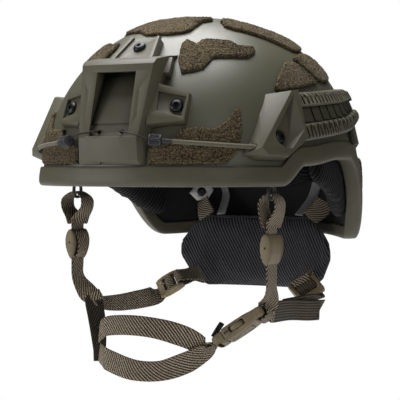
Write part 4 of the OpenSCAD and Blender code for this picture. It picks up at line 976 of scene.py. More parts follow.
def loop_patch(name, stations, form, side, seed):
    """Patch of pile: the outline runs straight between stations of angle, lower and upper latitude.

    The height over the skin at distance d from the outline is t (0.55 + 0.45 sqrt(1 - (1 - d/r)^2)), r the edge's
    rounding, and every point is then lifted or sunk by a seeded random amount to roughen the pile.
    """
    a = np.array(stations, float)
    mid = form.skin(a[:, 0], form.lat_z((a[:, 1] + a[:, 2]) / 2))
    run = travelled(mid)
    pitch = 0.85
    nu = int(run[-1] / pitch) + 2
    where = np.linspace(0, run[-1], nu)
    t = np.interp(where, run, a[:, 0])
    low, high = np.interp(t, a[:, 0], a[:, 1]), np.interp(t, a[:, 0], a[:, 2])
    lower, upper = form.skin(a[:, 0], form.lat_z(a[:, 1])), form.skin(a[:, 0], form.lat_z(a[:, 2]))
    tall = np.max(np.linalg.norm(lower - upper, axis=1))
    nv = int(tall / pitch) + 2
    v = np.linspace(0, 1, nv)
    s = lerp(low[:, None], high[:, None], v[None])
    tt = np.broadcast_to(t[:, None], s.shape)
    flat = form.skin(tt, form.lat_z(s))
    to_low = np.linalg.norm(flat - flat[:, :1], axis=-1)
    to_high = np.linalg.norm(flat - flat[:, -1:], axis=-1)
    to_start, to_end = where[:, None], run[-1] - where[:, None]
    d = np.minimum(np.minimum(to_low, to_high), np.minimum(to_start, to_end))
    rng = np.random.default_rng(seed)
    rounding = 1.5
    swell = np.sqrt(1 - (1 - np.clip(d / rounding, 0, 1)) ** 2)
    rough = rng.normal(0, 0.22, s.shape)
    rough += np.repeat(np.repeat(rng.normal(0, 0.16, (nu // 2 + 1, nv // 2 + 1)), 2, 0), 2, 1)[:nu, :nv]
    lift = 0.3 + form.patch_t * (0.5 + 0.4 * swell) + np.clip(rough, -0.45, 0.4) * (0.35 + 0.65 * swell)
    edge = d < 0.01
    s_rough = s + np.where(edge, rng.normal(0, 0.12, s.shape), rng.normal(0, 0.05, s.shape))
    t_rough = tt + rng.normal(0, 0.1, s.shape) / np.maximum(np.cos(np.radians(s)), 0.25)
    outer = form.skin(t_rough, form.lat_z(s_rough, lift), lift)
    inner = form.skin(t_rough, form.lat_z(s_rough, 0.1), 0.1)
    points = np.concatenate([outer.reshape(-1, 3), inner.reshape(-1, 3)])
    top = cells(nu, nv)
    index = np.arange(nu * nv).reshape(nu, nv)
    border = np.concatenate([index[0, :-1], index[:-1, -1], index[-1, :0:-1], index[:0:-1, 0]])
    wall = np.stack([border, np.roll(border, -1), np.roll(border, -1) + nu * nv, border + nu * nv], -1)
    return build(name, points, [top[:, ::-1], top + nu * nv, wall], side=side)


class HELMET_OT_patches(bpy.types.Operator):
    """Loop patches on the crown, sides and rear"""

    bl_idname = "helmet.patches"
    bl_label = "Loop patches"

    def execute(self, context):
        form = Form(context.scene.helmet_sizes)
        groups = {"crown_front": ([CROWN_FRONT], False), "crown": ([CROWN_SIDE], True), "upper": ([UPPER_SIDE], True),
                  "side": ([EAR_PATCH, BEHIND_EAR], True), "lower": ([LOWER_SIDE], True),
                  "rear": ([REAR_SMALL, REAR_LARGE], True)}
        seed = 10
        for key, (outlines, paired) in groups.items():
            for side, name in SIDES if paired else ((1, ""),):
                parts = [loop_patch(f"part{i}", o, form, side, seed + 7 * i) for i, o in enumerate(outlines)]
                seed += 31
                label = key + ("_" + name if name else "")
                finish_piece(joined("pile_" + label, parts), finish("pile"), nodes=["patch_" + label])
        return {"FINISHED"}


# ---------------------------------------------------------------- shroud, rails and screws


def rail_z(t):
    """Heights of the rail's lower and upper edge at an angle."""
    low = lerp(34, 43.5, (t - 63.5) / 36.5) if t < 100 else lerp(43.5, 49.5, (t - 100) / 10)
    return low, lerp(71, 79, (t - 62) / 55)


class HELMET_OT_fittings(bpy.types.Operator):
    """Front shroud with its insert, and the two side rails, with moulded edges"""

    bl_idname = "helmet.fittings"
    bl_label = "Shroud and rails"

    def execute(self, context):
        form = Form(context.scene.helmet_sizes)
        # The insert takes the darker copy of the olive: painted shade in the shroud's deep window.
        for node, bevel, kind in (("shroud_frame", 0.5, "polymer"), ("shroud_insert", 0.25, "insert")):
            piece = softened(node + "_moulding", node, bevel)
            finish_piece(piece, finish(kind), nodes=[node])
        left = self.rail(form)
        right = mirrored("rail_right_moulding", left)
        for piece, node in ((left, "rail_left"), (right, "rail_right")):
            # The rails take the olive with strong painted shade in their slots.
            finish_piece(piece, finish("recess"), nodes=[node])
        return {"FINISHED"}

    def rail(self, form):
        """Left rail with a row of teeth along both strips and raised panels in the slot between them."""
        piece = softened("rail_body", "rail_left", 0.4)
        corner = np.array([[x, y, z] for z in (0, 1) for y in (0, 1) for x in (0, 1)], float)
        sides = np.array([[0, 2, 3, 1], [4, 5, 7, 6], [0, 1, 5, 4], [2, 6, 7, 3], [0, 4, 6, 2], [1, 3, 7, 5]])

        def blocks(name, angles, low, high, from_o, to_o, width, lean):
            """Boxes on the skin at each angle, between two shares of the rail's height."""
            points = []
            for t in angles:
                bottom, top = rail_z(t)
                z0, z1 = lerp(bottom, top, low), lerp(bottom, top, high)
                q = corner * [width, 1, to_o - from_o] - [width / 2, 0, 0]
                turn = t + lean * q[:, 1] + np.degrees(q[:, 0] / form.plan_r(t))
                points.append(form.skin(turn, lerp(z0, z1, q[:, 1]), from_o + q[:, 2]))
            faces = np.concatenate([sides + 8 * k for k in range(len(points))])
            return build(name, np.concatenate(points), [faces])

        upper = blocks("teeth", np.arange(65.2, 112, 2.75), 0.76, 1.0, 6.9, 12, 2.3, -1.2)
        lower = blocks("teeth", np.arange(67.2, 114, 2.0), 0.06, 0.29, 6.9, 12, 1.6, -1.2)
        take_away(piece, joined("teeth", [upper, lower]))
        panels = blocks("panels", np.arange(71.2, 112, 6.6), 0.38, 0.7, 3.2, 4.4, 11.4, -1.0)
        return smooth(joined("rail_left_moulding", [piece, panels]), 35)


SCREWS = [(20.5, 59, 2.5), (-20.5, 59, 2.5), (0, 102, 5), (54.5, 37, 3), (-54.5, 37, 3), (120, 62, 3), (-120, 62, 3)]
ANCHOR = (148, -6)
HANGER_RING = [(-3.4, 3), (-4.6, 0.2), (-4.9, -3.6), (-3.6, -7.2), (0, -8.1), (3.6, -7.2), (4.9, -3.6), (4.6, 0.2),
               (3.4, 3)]


def screw_head(place, seat, radius=5.0, height=2.8, depth=1.8):
    """Button head with a hexagonal socket: a domed outline turned round, whose middle sinks into a hexagon."""
    a = np.radians([0, 20, 35, 50, 65, 78])
    dome = [(radius, seat), (radius, seat + height * 0.3)]
    dome += [(radius * (0.42 + 0.56 * math.cos(x)), seat + height * (0.3 + 0.7 * math.sin(x))) for x in a[1:]]
    dome += [(radius * 0.5, seat + height)]
    sides = 48
    angle = np.linspace(0, FULL_TURN, sides, endpoint=False)
    hexagon = radius * 0.4 * math.cos(math.pi / 6) / np.cos((angle + math.pi / 6) % (math.pi / 3) - math.pi / 6)
    top = seat + height
    socket = ((1.06, top), (1.0, top - 0.15), (0.97, top - depth), (0.05, top - depth - 0.25))
    outline = [(radius * 0.9, seat - 0.3)] + dome + [(hexagon * k, z) for k, z in socket]
    rings = [np.stack([r * np.cos(angle), r * np.sin(angle), np.full(sides, z)], -1) for r, z in outline]
    return loft("head", placed(place, np.array(rings)))


class HELMET_OT_screws(bpy.types.Operator):
    """Button-head screws, barrel nuts, front hangers and rear anchor plates"""

    bl_idname = "helmet.screws"
    bl_label = "Screws"

    def execute(self, context):
        form = Form(context.scene.helmet_sizes)
        heads = [screw_head(lambda p, t=t, z=z: form.place(t, z, p), seat) for t, z, seat in SCREWS]
        for side in (1, -1):
            def inward(p, side=side):
                """The frame of the anchor on the shell's inside, turned to point inwards."""
                return form.place(side * ANCHOR[0], ANCHOR[1], p * [1, -1, -1], -form.shell_wall)

            heads.append(screw_head(inward, 3.2, 4.0, 2.0, 1.3))
        heads = smooth(joined("screw_heads", heads), 38)
        finish_piece(heads, finish("black"), nodes=["button_screws"])
        nuts = softened("barrel_nuts_steel", "barrel_nuts", 0.3)
        finish_piece(nuts, finish("black"), nodes=["barrel_nuts"])
        x, y = STRAP
        for side, name in SIDES:
            foot = form.skin(54.5, 23, -form.shell_wall - 4.1)
            web = strap("web", [foot, foot + [-1.5, 3, -7], (x + 1.5, y - 2, 9), (x, y, 1)],
                        [(0.5, 0.85, 0), (0.4, 0.9, 0), (0.1, 1, 0), (0, 1, 0)],
                        form, w=13, t=2, n=40, side=side, ripple=0, taper=[1, 1, 0.9, 0.8])
            foot_plate = softened("plate", "hanger_" + name, 0.3)
            cut(foot_plate, [((-200, -200, -60), (200, 200, 12))], np.asarray)
            ring = tube("ring", [(side * x, y + a, z) for a, z in HANGER_RING], 2.6, 14, 70, up=(1, 0, 0))[0]
            hanger = smooth(joined("hanger_steel_" + name, [foot_plate, web, ring]), 40)
            finish_piece(hanger, finish("hard_black"), nodes=["hanger_" + name])
        plates = softened("anchor_plates_steel", "anchor_plates", 0.35)
        finish_piece(plates, finish("plate"), nodes=["anchor_plates"])
        return {"FINISHED"}


# ---------------------------------------------------------------- harness


def square_to(v, n):
    """The direction of v with what runs along n taken out of it."""
    return unit(v - np.dot(v, n) * n)


STRAP = (88.6, -55.4)
JUNCTION = np.array([78.6, -44.0, -93.0])
LOCK_L = 21
LOCK_BARS = unit([0.63, 0.6, 0.49])
LOCK_WAY = square_to([-0.73, 0.42, 0.54], LOCK_BARS)
LOCK_OUT = np.cross(LOCK_BARS, LOCK_WAY)
LEFT_LOCK, RIGHT_LOCK = np.array([66.0, 50, -83.5]), np.array([66.0, 53, -85])
NAPE_END = np.array([52, 80.7, -78])
FRONT_TURNS = {1: [(0, 1, -0.1), (0.3, 0.85, -0.4), (0.5, 0.6, -0.6), (0.5, 0.5, -0.7)],
               -1: [(-0.2, 1, 0.1), (-0.55, 0.6, 0.4), (-0.65, 0.4, 0.65), (-0.5, 0.3, 0.8)]}
UPPER_SIDE_OF_BUCKLE = 1
BUCKLE_TIP = np.array([45.0, -63.5, -118.5])
BUCKLE_END = np.array([75.0, -51.0, -96.5])
BUCKLE_DIR = unit(BUCKLE_END - BUCKLE_TIP)
BUCKLE_FACE = square_to([0.5, -0.866, 0], BUCKLE_DIR)
BUCKLE_LIFT = np.cross(BUCKLE_FACE, BUCKLE_DIR)
BUCKLE_WIDE = math.cos(math.radians(20)) * BUCKLE_FACE + math.sin(math.radians(20)) * BUCKLE_LIFT
BUCKLE_AXES = np.array([BUCKLE_DIR, BUCKLE_WIDE, np.cross(BUCKLE_DIR, BUCKLE_WIDE)])
CHIN_JOIN = BUCKLE_TIP - 3.5 * BUCKLE_DIR
SOCKET_L = 27
BAR_X = 10 + SOCKET_L + 6.1


def lock_point(f, p):
    """Point along the strap and out of it, from the middle f of a ladder lock."""
    return f + LOCK_WAY * p[0] + LOCK_OUT * p[1]


def buckle_point(p):
    """Points given along, across and out of the chin buckle."""
    return BUCKLE_TIP + np.asarray(p, float) @ BUCKLE_AXES


def threaded(f):
    """Way of a strap over and under the bars of the ladder lock at f."""
    path = [(-12.8, -3.2), (-8.5, -2.7), (-5.2, -1.9), (-3.1, 0.9), (-1.6, 2.3), (1.6, 2.3), (3.1, 0.9), (3.7, -1.8)]
    return [lock_point(f, p) for p in path]


class HELMET_OT_harness(bpy.types.Operator):
    """Webbing of the harness, from the hangers to the nape pad and the chin"""

    bl_idname = "helmet.harness"
    bl_label = "Harness webbing"

    def web(self, name, parts, nodes, kind="webbing", slot="webbing"):
        """One finished piece of webbing from its lengths."""
        piece = parts[0] if len(parts) == 1 else joined(name, parts)
        piece.name = name
        finish_piece(piece, finish(kind), nodes=nodes)

    def execute(self, context):
        form = Form(context.scene.helmet_sizes)
        for side, name in SIDES:
            lock = LEFT_LOCK if side > 0 else RIGHT_LOCK
            kind = "rear_webbing" if side > 0 else "webbing"
            self.web("loop_webbing_" + name, [self.loop(form, side)], ["hanger_loop_" + name])
            self.web("front_webbing_" + name, [self.front(form, side)], ["front_strap_" + name])
            self.web("rear_webbing_" + name, self.rear(form, side, lock), ["rear_strap_" + name], kind)
            self.web("nape_webbing_" + name, [self.nape(form, side, lock)], ["nape_strap_" + name])
        self.junctions(form)
        self.chin(form)
        self.inside(form)
        return {"FINISHED"}

    def front(self, form, side):
        """Front strap: straight down through the slider, then back and in to its junction."""
        x, y = STRAP
        points = [(x, y, -24), (x, y, -45), (x, y, -60), (x, y, -70.5), (x - 1.8, y + 2, -78),
                  (x - 5.6, y + 6.5, -86), JUNCTION + [0.6, -0.6, 2], JUNCTION + [1.6, 1.2, -2]]
        return strap("front", points, [(0, 1, 0)] * 4 + FRONT_TURNS[side], form, n=150, side=side, ripple=0,
                     taper=[1, 1, 1, 0.97, 0.95, 0.95, 0.85, 0.8])

    def rear(self, form, side, lock):
        """Rear strap from its junction through the lock: two lengths on the near side, one on the far side."""
        x, start = STRAP[0], JUNCTION + [0.5, 9.1, -2]
        across = [LOCK_BARS] * 8
        if side < 0:
            points = [JUNCTION + [0.8, -2, 0.5], start + [0.8, 1, -0.5], (x - 10.4, -8, -97), (x - 10.8, 24, -96.5),
                      (x - 11, 42, -95.5)]
            widths = [(0.5, 0.2, 0.6), (0.35, 0, 0.9), (0.1, 0, 1), (0.1, 0.1, 1), (0.3, 0.3, 0.8)]
            return [strap("rear", points + threaded(lock), widths + across, form, n=190, side=side, ripple=0,
                          taper=[0.5, 0.75, 0.95, 1, 1, 1, 1, 1, 1, 1])]
        points = [JUNCTION + [1.2, 0, -0.5], start + [0.4, 0, 0], (x - 12, 0, -96.5), (x - 10.4, 28, -99.2),
                  (x - 9, 45.6, -100.2)]
        widths = [(0.1, 0, 1), (0, 0, 1), (0.05, 0, 1), (0, 0, 1), (0, 0, 1)]
        lower = strap("lower", points, widths, form, n=90, slant=(0, 18), ripple=0.15, seed=3,
                      taper=[0.6, 0.85, 1, 1, 1, 1, 1, 1, 1])
        points = [(x - 14.6, -8, -95.6), (x - 14.8, 6, -95.5), (x - 15, 20, -95.2), (x - 14.2, 35, -94.2)]
        widths = [(0, 0, 1), (0, 0, 1), (0.1, 0.1, 1), (0.3, 0.3, 0.8)]
        return [lower, strap("upper", points + threaded(lock), widths + across, form, n=150, ripple=0)]

    def nape(self, form, side, lock):
        """Webbing from the nape pad, round the lock's end bar and back to the pad."""
        end_bar = LOCK_L / 2 - 1.5
        knee = lerp(lock_point(lock, (end_bar + 5, 0)), NAPE_END, 0.4)
        off = unit(np.cross(NAPE_END - knee, LOCK_BARS)) * (form.web_t / 2 + 0.2)
        wrap = ((1.8, -2.8), (-1.2, -2.7), (-2.9, -1.3), (-2.9, 1.3), (-1.2, 2.7), (1.8, 2.8))
        turn = [lock_point(lock, (end_bar + a, b)) for a, b in wrap]
        return strap("nape", [NAPE_END + off, knee + off] + turn + [knee - off, NAPE_END - off],
                     [(0.5, 0.3, 0.8)] + [LOCK_BARS] * 8 + [(0.5, 0.3, 0.8)], form, n=150, side=side, ripple=0)

    def loop(self, form, side):
        """Loop through the hanger: a teardrop on the far side, two folds pressed together on the near one."""
        x, y = STRAP
        wide, low, lean = (6.6, 3.2, 0.3) if side > 0 else (9.2, 3.4, -0.45)
        down = [(wide * 0.45, -5.2, 0), (wide, -9.5, 0.1), (wide, -16.5, 0.15), (low + 0.6, -23.5, 0.8),
                (low * 0.6, -27.5, 1), (low * 0.5, -29.6, 1)]
        right = [(x + a, y, z) for a, z, _ in down]
        left = [(x - a, y, z) for a, z, _ in down]
        widths = [(lean * k, 1, 0) for _, _, k in down]
        return strap("loop", left[::-1] + [(x, y, -4.2)] + right, widths[::-1] + [(0, 1, 0)] + widths, form, n=170,
                     side=side, ripple=0.15, taper=[0.92, 1, 1, 1, 0.8, 0.56, 0.8, 1, 1, 1, 0.92], seed=4)

    def junctions(self, form):
        """Folded and sewn webbing: round the buckle's bar on the near side, a single lap on the far one."""
        j = JUNCTION
        wrap = [(4.6, -1.6), (5.2, 1.6), (3.9, 4.4), (1.2, 5.6), (-2.4, 5.8), (-4.8, 4.6), (-4.4, 1.0)]
        turn = strap("turn", [j + [1.8, -2.0, 4.6]] + [buckle_point((BAR_X + a, 0, b)) for a, b in wrap],
                     [-BUCKLE_WIDE] * 8, form, n=110, ripple=0.05, taper=[0.45, 0.7, 0.95, 1, 1, 1, 1, 1])
        fold = strap("fold", [j + [3.5, -3.5, 8], j + [2.4, -3, 3.4], j + [0.4, -3.2, -1.0], j + [-1.2, -3, -4.2]],
                     [(0.3, 0.6, -0.7), (0.4, 0.6, -0.6), (0.5, 0.5, -0.5), (0.6, 0.5, -0.4)], form, w=11, t=2.4,
                     n=40, ripple=0.06, taper=[0.6, 0.9, 0.9, 0.6])
        lap = strap("lap", [j + [0.4, -1.2, 7.0], j + [2.2, 0.5, 3.5], j + [3.0, 3, -2], j + [2.0, 7.5, -3.4]],
                    [(0.5, 0.6, 0.4), (0.3, 0.7, 0.6), (0.2, 0.4, 0.9), (0.1, 0.1, 1)], form, w=14, t=2.2, n=40,
                    ripple=0.06, taper=[0.4, 0.85, 1, 1], seed=8)
        self.web("junction_webbing_left", [turn, fold, lap], ["strap_junction_left"])
        far = strap("far", [j + [2.0, -2.2, 8], j + [1.0, -0.8, 3], j + [0.6, 1.8, -0.6], j + [0.9, 7, -2.2]],
                    [(-0.65, 0.45, 0.6), (-0.6, 0.35, 0.7), (-0.3, 0.2, 0.9), (0, 0, 1)], form, w=14, t=2.8, n=50,
                    side=-1, ripple=0.08, taper=[0.85, 1, 1, 0.9])
        self.web("junction_webbing_right", [far], ["strap_junction_right"])

    def chin(self, form):
        """Chin strap: two webs that part at the far side and meet in the buckle, an upright web and a tail."""
        c = CHIN_JOIN
        upper = [(-70.5, -50, -118), (-62, -58.5, -113.5), (-50, -66, -109.5), (-20, -79, -106.5), (5, -80, -108),
                 (24, -74, -113.5), c + [-5.7, -2.4, 0.1], c + [0.4, -0.4, 1.6], buckle_point((0.8, 0, 1.0))]
        lower = [(-69.6, -50.9, -133.5), (-61, -58.5, -135.5), (-50, -66, -137.5), (-20, -79, -141), (5, -80, -140),
                 (24, -74, -133.5), c + [-5.5, -2.4, -5.2], c + [0.6, -0.3, -1.6], buckle_point((0.8, 0, -1.0))]
        upper_widths = [(0, 0.2, 1), (0, 0.1, 1), (0, 0.3, 0.9), (0, 0.45, 0.9), (0, 0.45, 0.9)]
        lower_widths = [(0, 0.1, 1), (0, 0.1, 1), (0, 0.3, 0.9), (0, 0.45, 0.9), (0, 0.4, 0.9)]
        joining = [(0.1, 0, 1), (0.1, -0.5, 0.7), BUCKLE_WIDE, BUCKLE_WIDE]
        for name, points, widths in (("upper", upper, upper_widths), ("lower", lower, lower_widths)):
            web = strap(name, points, widths + joining, form, n=160, ripple=0)
            self.web("chin_webbing_" + name, [web], ["chin_strap_" + name])
        web = strap("web", [(-80.4, -45, -87.5), (-79.6, -44.6, -95), (-76.4, -45.2, -109), (-73.5, -47, -122),
                            (-72.2, -48, -132), (-71.4, -49, -141)],
                    [(0.6, 0.8, 0), (0.6, 0.8, 0), (0.6, 0.8, 0), (0.75, 0.65, 0), (0.85, 0.5, 0), (0.9, 0.4, 0)],
                    form, t=2.2, n=80, ripple=0.1, taper=[0.8, 0.95, 0.9, 0.75, 0.62, 0.6])
        # The upright web takes the darkened webbing: painted shade.
        self.web("chin_web_upright", [web], ["chin_web"], "dark_webbing")
        base = c + [0.8, 1, 7.2]
        tail = strap("tail", [base, base + [2.5, 1.5, 5], base + [5.5, 3.5, 10.5]], [BUCKLE_WIDE] * 3, form,
                     w=9, t=2.2, n=24, ripple=0)
        self.web("tail_webbing", [tail], ["strap_tail"], "tail", "tail_black")

    def inside(self, form):
        """Webbing and grey tapes from the shell's rear down to the nape pad."""
        top = form.skin(ANCHOR[0], ANCHOR[1], -form.shell_wall - 5)
        hangers = [strap("h", [top + [-2, -1.5, -7], top + [-5, -5, -14], (50, 88, -27)],
                         [(0.9, 0.5, 0), (0.9, 0.4, 0), (1, 0.3, 0)], form, n=30, side=side) for side in (1, -1)]
        self.web("nape_hanger_webbing", hangers, ["nape_hangers"])
        top = form.skin(157, 2, -form.shell_wall - 3.4)
        stays = [strap("s", [top, top + [-4, -1, -12], (38, 92, -25)], [(1, 0.3, 0), (1, 0.3, 0.2), (1, 0.2, 0.2)],
                       form, w=8, t=1.2, n=30, side=side) for side in (1, -1)]
        self.web("nape_stay_tapes", stays, ["nape_stays"], "stay", "stay_grey")


class HELMET_OT_buckles(bpy.types.Operator):
    """Strap sliders, ladder locks and the chin buckle, moulded in tan plastic"""

    bl_idname = "helmet.buckles"
    bl_label = "Sliders and buckles"

    def slider(self, form):
        """Clam-shaped slider: leaf-shaped ends, a smooth outer plate, and windows with the strap's fold inside."""
        middle = np.array([STRAP[0], STRAP[1], -46])

        def place(p):
            """Depth falls towards the lower end, which makes each end of the piece a leaf."""
            p = np.asarray(p, float)
            leaf = np.interp(p[:, 1], [-12, -9, -3, 4, 9, 12], [0.42, 0.68, 0.94, 1.06, 1.0, 0.8])
            return middle + np.stack([p[:, 2] * leaf, p[:, 0] * np.interp(p[:, 1], [-12, 0, 12], [0.86, 1, 0.97]),
                                      p[:, 1]], -1)

        def plain(p):
            """The slider's own frame: across the strap, up it and out of it."""
            return middle + np.asarray(p)[:, [2, 0, 1]]

        def seams(x, y):
            """Grooves between the two ends and the plate."""
            return 0.8 * np.exp(-((np.abs(x) - 9.0) / 0.35) ** 2)

        lens = [(-11.4, 11.0, 3.3), (-11.1, 11.6, 4.0), (-10.3, 12, 4.6), (-9.4, 12, 4.9), (-8.6, 12, 4.4),
                (-6, 12, 4.2), (0, 11.8, 4.3), (6, 12, 4.2), (8.6, 12, 4.4), (9.4, 12, 4.9), (10.3, 12, 4.6),
                (11.1, 11.6, 4.0), (11.4, 11.0, 3.3)]
        obj = bar("slider_left", place, lens, 2.4, 110, 110, seams)
        half, gap = form.web_w / 2 + 0.35, form.web_t / 2 + 0.4
        boxes = [((-half, -30, -gap), (half, 30, gap)), ((-half + 0.3, 3.0, -9), (half - 0.3, 9.4, 0)),
                 ((-half + 0.3, -9.4, -9), (half - 0.3, -3.0, 0)), ((-11.8, 0.6, -0.7), (-10.2, 2.2, 0.7)),
                 ((10.2, 0.6, -0.7), (11.8, 2.2, 0.7)), ((-half, 8.8, -1.8), (half, 30, 1.8))]
        cut(obj, boxes, plain)
        fold = [(0, 10.6, -1.9), (0, 8.6, -4.0), (0, 5.8, -5.2), (0, 2.2, -5.6), (0, -2.0, -5.4), (0, -5.6, -4.5),
                (0, -8.4, -3.1), (0, -9.8, -1.9)]
        widths = [(0, 1, k) for k in (0.1, 0.2, 0.3, 0.35, 0.35, 0.3, 0.2, 0.1)]
        wrap = strap("slider_fold_left", plain(fold), widths, form, w=form.web_w - 2.5, n=50, ripple=0.3, seed=6)
        return smooth(obj, 40), wrap

    def execute(self, context):
        form = Form(context.scene.helmet_sizes)
        pair = self.slider(form)
        for side, name in SIDES:
            clam, wrap = pair if side > 0 else (mirrored("slider_right", pair[0]),
                                                mirrored("slider_fold_right", pair[1]))
            finish_piece(clam, finish("plastic"), "slider_" + name, ["strap_slider_" + name])
            finish_piece(wrap, finish("webbing"), "slider_" + name)
            lock = softened("ladder_lock_moulding_" + name, "ladder_lock_" + name, 0.8, 3)
            # The far lock takes the lightened copy of the plastic: painted light.
            finish_piece(lock, finish("plastic" if side > 0 else "painted_light_plastic"),
                         nodes=["ladder_lock_" + name])

        def tongue(x, y):
            """Groove round a tongue that widens towards the strap's bar."""
            half = 2.0 + 3.4 * ease((x - 20) / 6)
            side_groove = np.abs(np.abs(y) - half) < 0.55
            end_groove = (np.abs(x - 32.5) < 0.5) & (np.abs(y) < half + 0.5)
            return 0.7 * ((side_groove & (x > 12.5) & (x < 33)) | end_groove)

        shape = [(10, 11.9, 4.1), (10.8, 12.4, 4.8), (13, 12.5, 5.1), (22, 12.2, 5.3), (30, 12.4, 5.1),
                 (33, 12.2, 4.9), (36.5, 11.8, 4.5), (39, 11.6, 4.4), (43, 11.2, 4.4), (44.8, 10.4, 3.7),
                 (45.6, 9.4, 2.4)]
        socket = bar("buckle_socket_body", buckle_point, shape, 5.0, 150, 200, tongue)
        cut(socket, [((9, -10.9, -2.4), (33.2, 10.9, 2.4)), ((16, -13.5, -2.39), (29.4, -9.5, 2.39)),
                     ((16, 9.5, -2.39), (29.4, 13.5, 2.39)), ((11.4, -13.5, -0.7), (16.4, -11.4, 0.7)),
                     ((11.4, 11.4, -0.7), (16.4, 13.5, 0.7)), ((37.2, -9.0, -6), (41.2, 9.0, 6))], buckle_point)
        finish_piece(smooth(socket, 35), finish("plastic"), nodes=["buckle_socket"])
        shape = [(0, 9.2, 2.4), (0.6, 10.3, 3.4), (2, 11.1, 4.2), (4.5, 11.5, 4.6), (8.8, 11.5, 4.7),
                 (9.5, 11.1, 4.2)]
        plug = bar("buckle_plug_body", buckle_point, shape, 3.4, 40, 160)
        cut(plug, [((1.8, -8.75, -6), (5, 8.75, 6)), ((7.2, 7.2, -2.3), (10.2, 11, 2.3)),
                   ((7.2, -11, -2.3), (10.2, -7.2, 2.3))], buckle_point)
        stem = bar("stem", buckle_point, [(9.2, 3, 1.8), (25, 3, 1.8), (27, 2.2, 1.2)], 6.0, 20, 40)
        plug = smooth(joined("buckle_plug_moulding", [plug, stem]), 35)
        finish_piece(plug, finish("plastic"), nodes=["buckle_plug"])

        def arm(name, side):
            """Sprung arm from the plug, widening to the pad that is squeezed."""
            a = np.array([(7.6, 8.6, 0.8, 1.0), (8.2, 8.6, 1.0, 1.5), (15, 8.6, 1.0, 1.5), (17, 9.0, 1.5, 1.9),
                          (18.6, 10.2, 2.8, 2.1), (21, 10.7, 3.1, 2.1), (25, 10.6, 3.0, 2.1), (27, 10.1, 2.5, 2.0),
                          (28.2, 9.6, 1.7, 1.4), (28.5, 9.5, 1.1, 0.9)])
            ring = rounded_box(4.0, 48)
            across = side * (a[:, 1:2] + a[:, 2:3] * ring[None, :, 0])
            along = np.broadcast_to(a[:, :1], across.shape)
            points = np.stack([along, across, a[:, 3:4] * ring[None, :, 1]], -1)
            return smooth(loft(name, placed(buckle_point, points)), 45)

        for name, side in (("arm_upper", UPPER_SIDE_OF_BUCKLE), ("arm_lower", -UPPER_SIDE_OF_BUCKLE)):
            piece = arm("buckle_" + name + "_moulding", side)
            if side < 0:
                piece.data.flip_normals()
            finish_piece(piece, finish("plastic"), name, ["buckle_" + name])
        return {"FINISHED"}


# ---------------------------------------------------------------- pads


def swell(x):
    """Crown of a cushion across one direction: the root of 1 - x^4."""
    return np.sqrt(np.clip(1 - np.abs(x) ** 4, 0, None))


CLOTH_FRAMES = 20


def puffed(obj, held, cap, voxel=4.5):
    """Blows a closed shape up like a filled cover by a short cloth simulation under pressure.

    held says which points stay put. No point moves further than cap millimetres.
    """
    mod = obj.modifiers.new("remesh", "REMESH")
    mod.mode, mod.voxel_size = "VOXEL", voxel * MM
    apply_modifiers(obj)
    before = vertex_points(obj.data)
    group = obj.vertex_groups.new(name="held")
    group.add(np.nonzero(held(before * PER_MM))[0].tolist(), 1.0, "REPLACE")
    cloth = obj.modifiers.new("cloth", "CLOTH")
    settings = cloth.settings
    settings.use_pressure = True
    settings.uniform_pressure_force = 4.0
    settings.vertex_group_mass = "held"
    settings.tension_stiffness = settings.compression_stiffness = 12
    settings.quality = 6
    settings.effector_weights.gravity = 0
    scene = bpy.context.scene
    for f in range(1, CLOTH_FRAMES + 1):
        scene.frame_set(f)
    graph = bpy.context.evaluated_depsgraph_get()
    move = vertex_points(obj.evaluated_get(graph).data) - before
    far = np.linalg.norm(move, axis=1, keepdims=True)
    move *= np.minimum(1, cap * MM / np.maximum(far, 1e-9))
    obj.modifiers.clear()
    obj.vertex_groups.clear()
    obj.data.vertices.foreach_set("co", (before + move).ravel())
    scene.frame_set(1)
    sub = obj.modifiers.new("smooth", "SUBSURF")
    sub.levels = sub.render_levels = render_levels
    apply_modifiers(obj)
    smooth(obj)


def unwrap(obj, across):
    """Cloth measure in centimetres from a function of each point, because a remesh drops what there was."""
    mesh = obj.data
    uv = across(vertex_points(mesh) * PER_MM) / 10
    index = np.empty(len(mesh.loops), np.int32)
    mesh.loops.foreach_get("vertex_index", index)
    layer = mesh.uv_layers.get("weave") or mesh.uv_layers.new(name="weave")
    layer.uv.foreach_set("vector", uv[index].astype(np.float32).ravel())


SIDE_PAD = [(86, 3, 42), (97, -3, 46), (108, -11, 48), (120, -23, 46), (131, -32, 38)]
FRONT_PAD = [(-38, 16, 46), (-19, 15, 49), (0, 15, 50), (19, 15, 49), (38, 16, 46)]
REAR_PAD = [(158, 2, 48), (169, -2, 54), (180, -4, 56), (191, -2, 54), (202, 2, 48)]
TEMPLE_PAD = [(44, 62, 96), (56, 58, 98), (68, 56, 98), (80, 58, 96)]
NAPE_EDGE = [(-88, 0.72), (-79, 0.88), (-62, 1.0), (-48, 0.985), (-35, 0.86), (-26, 0.7)]
NAPE_W, NAPE_T, NAPE_Y, NAPE_BEND = 146, 13, 98, 16
PAD_REACH = 105
RIB_SLANT = np.array([[0.86, 0.5], [-0.5, 0.86]])


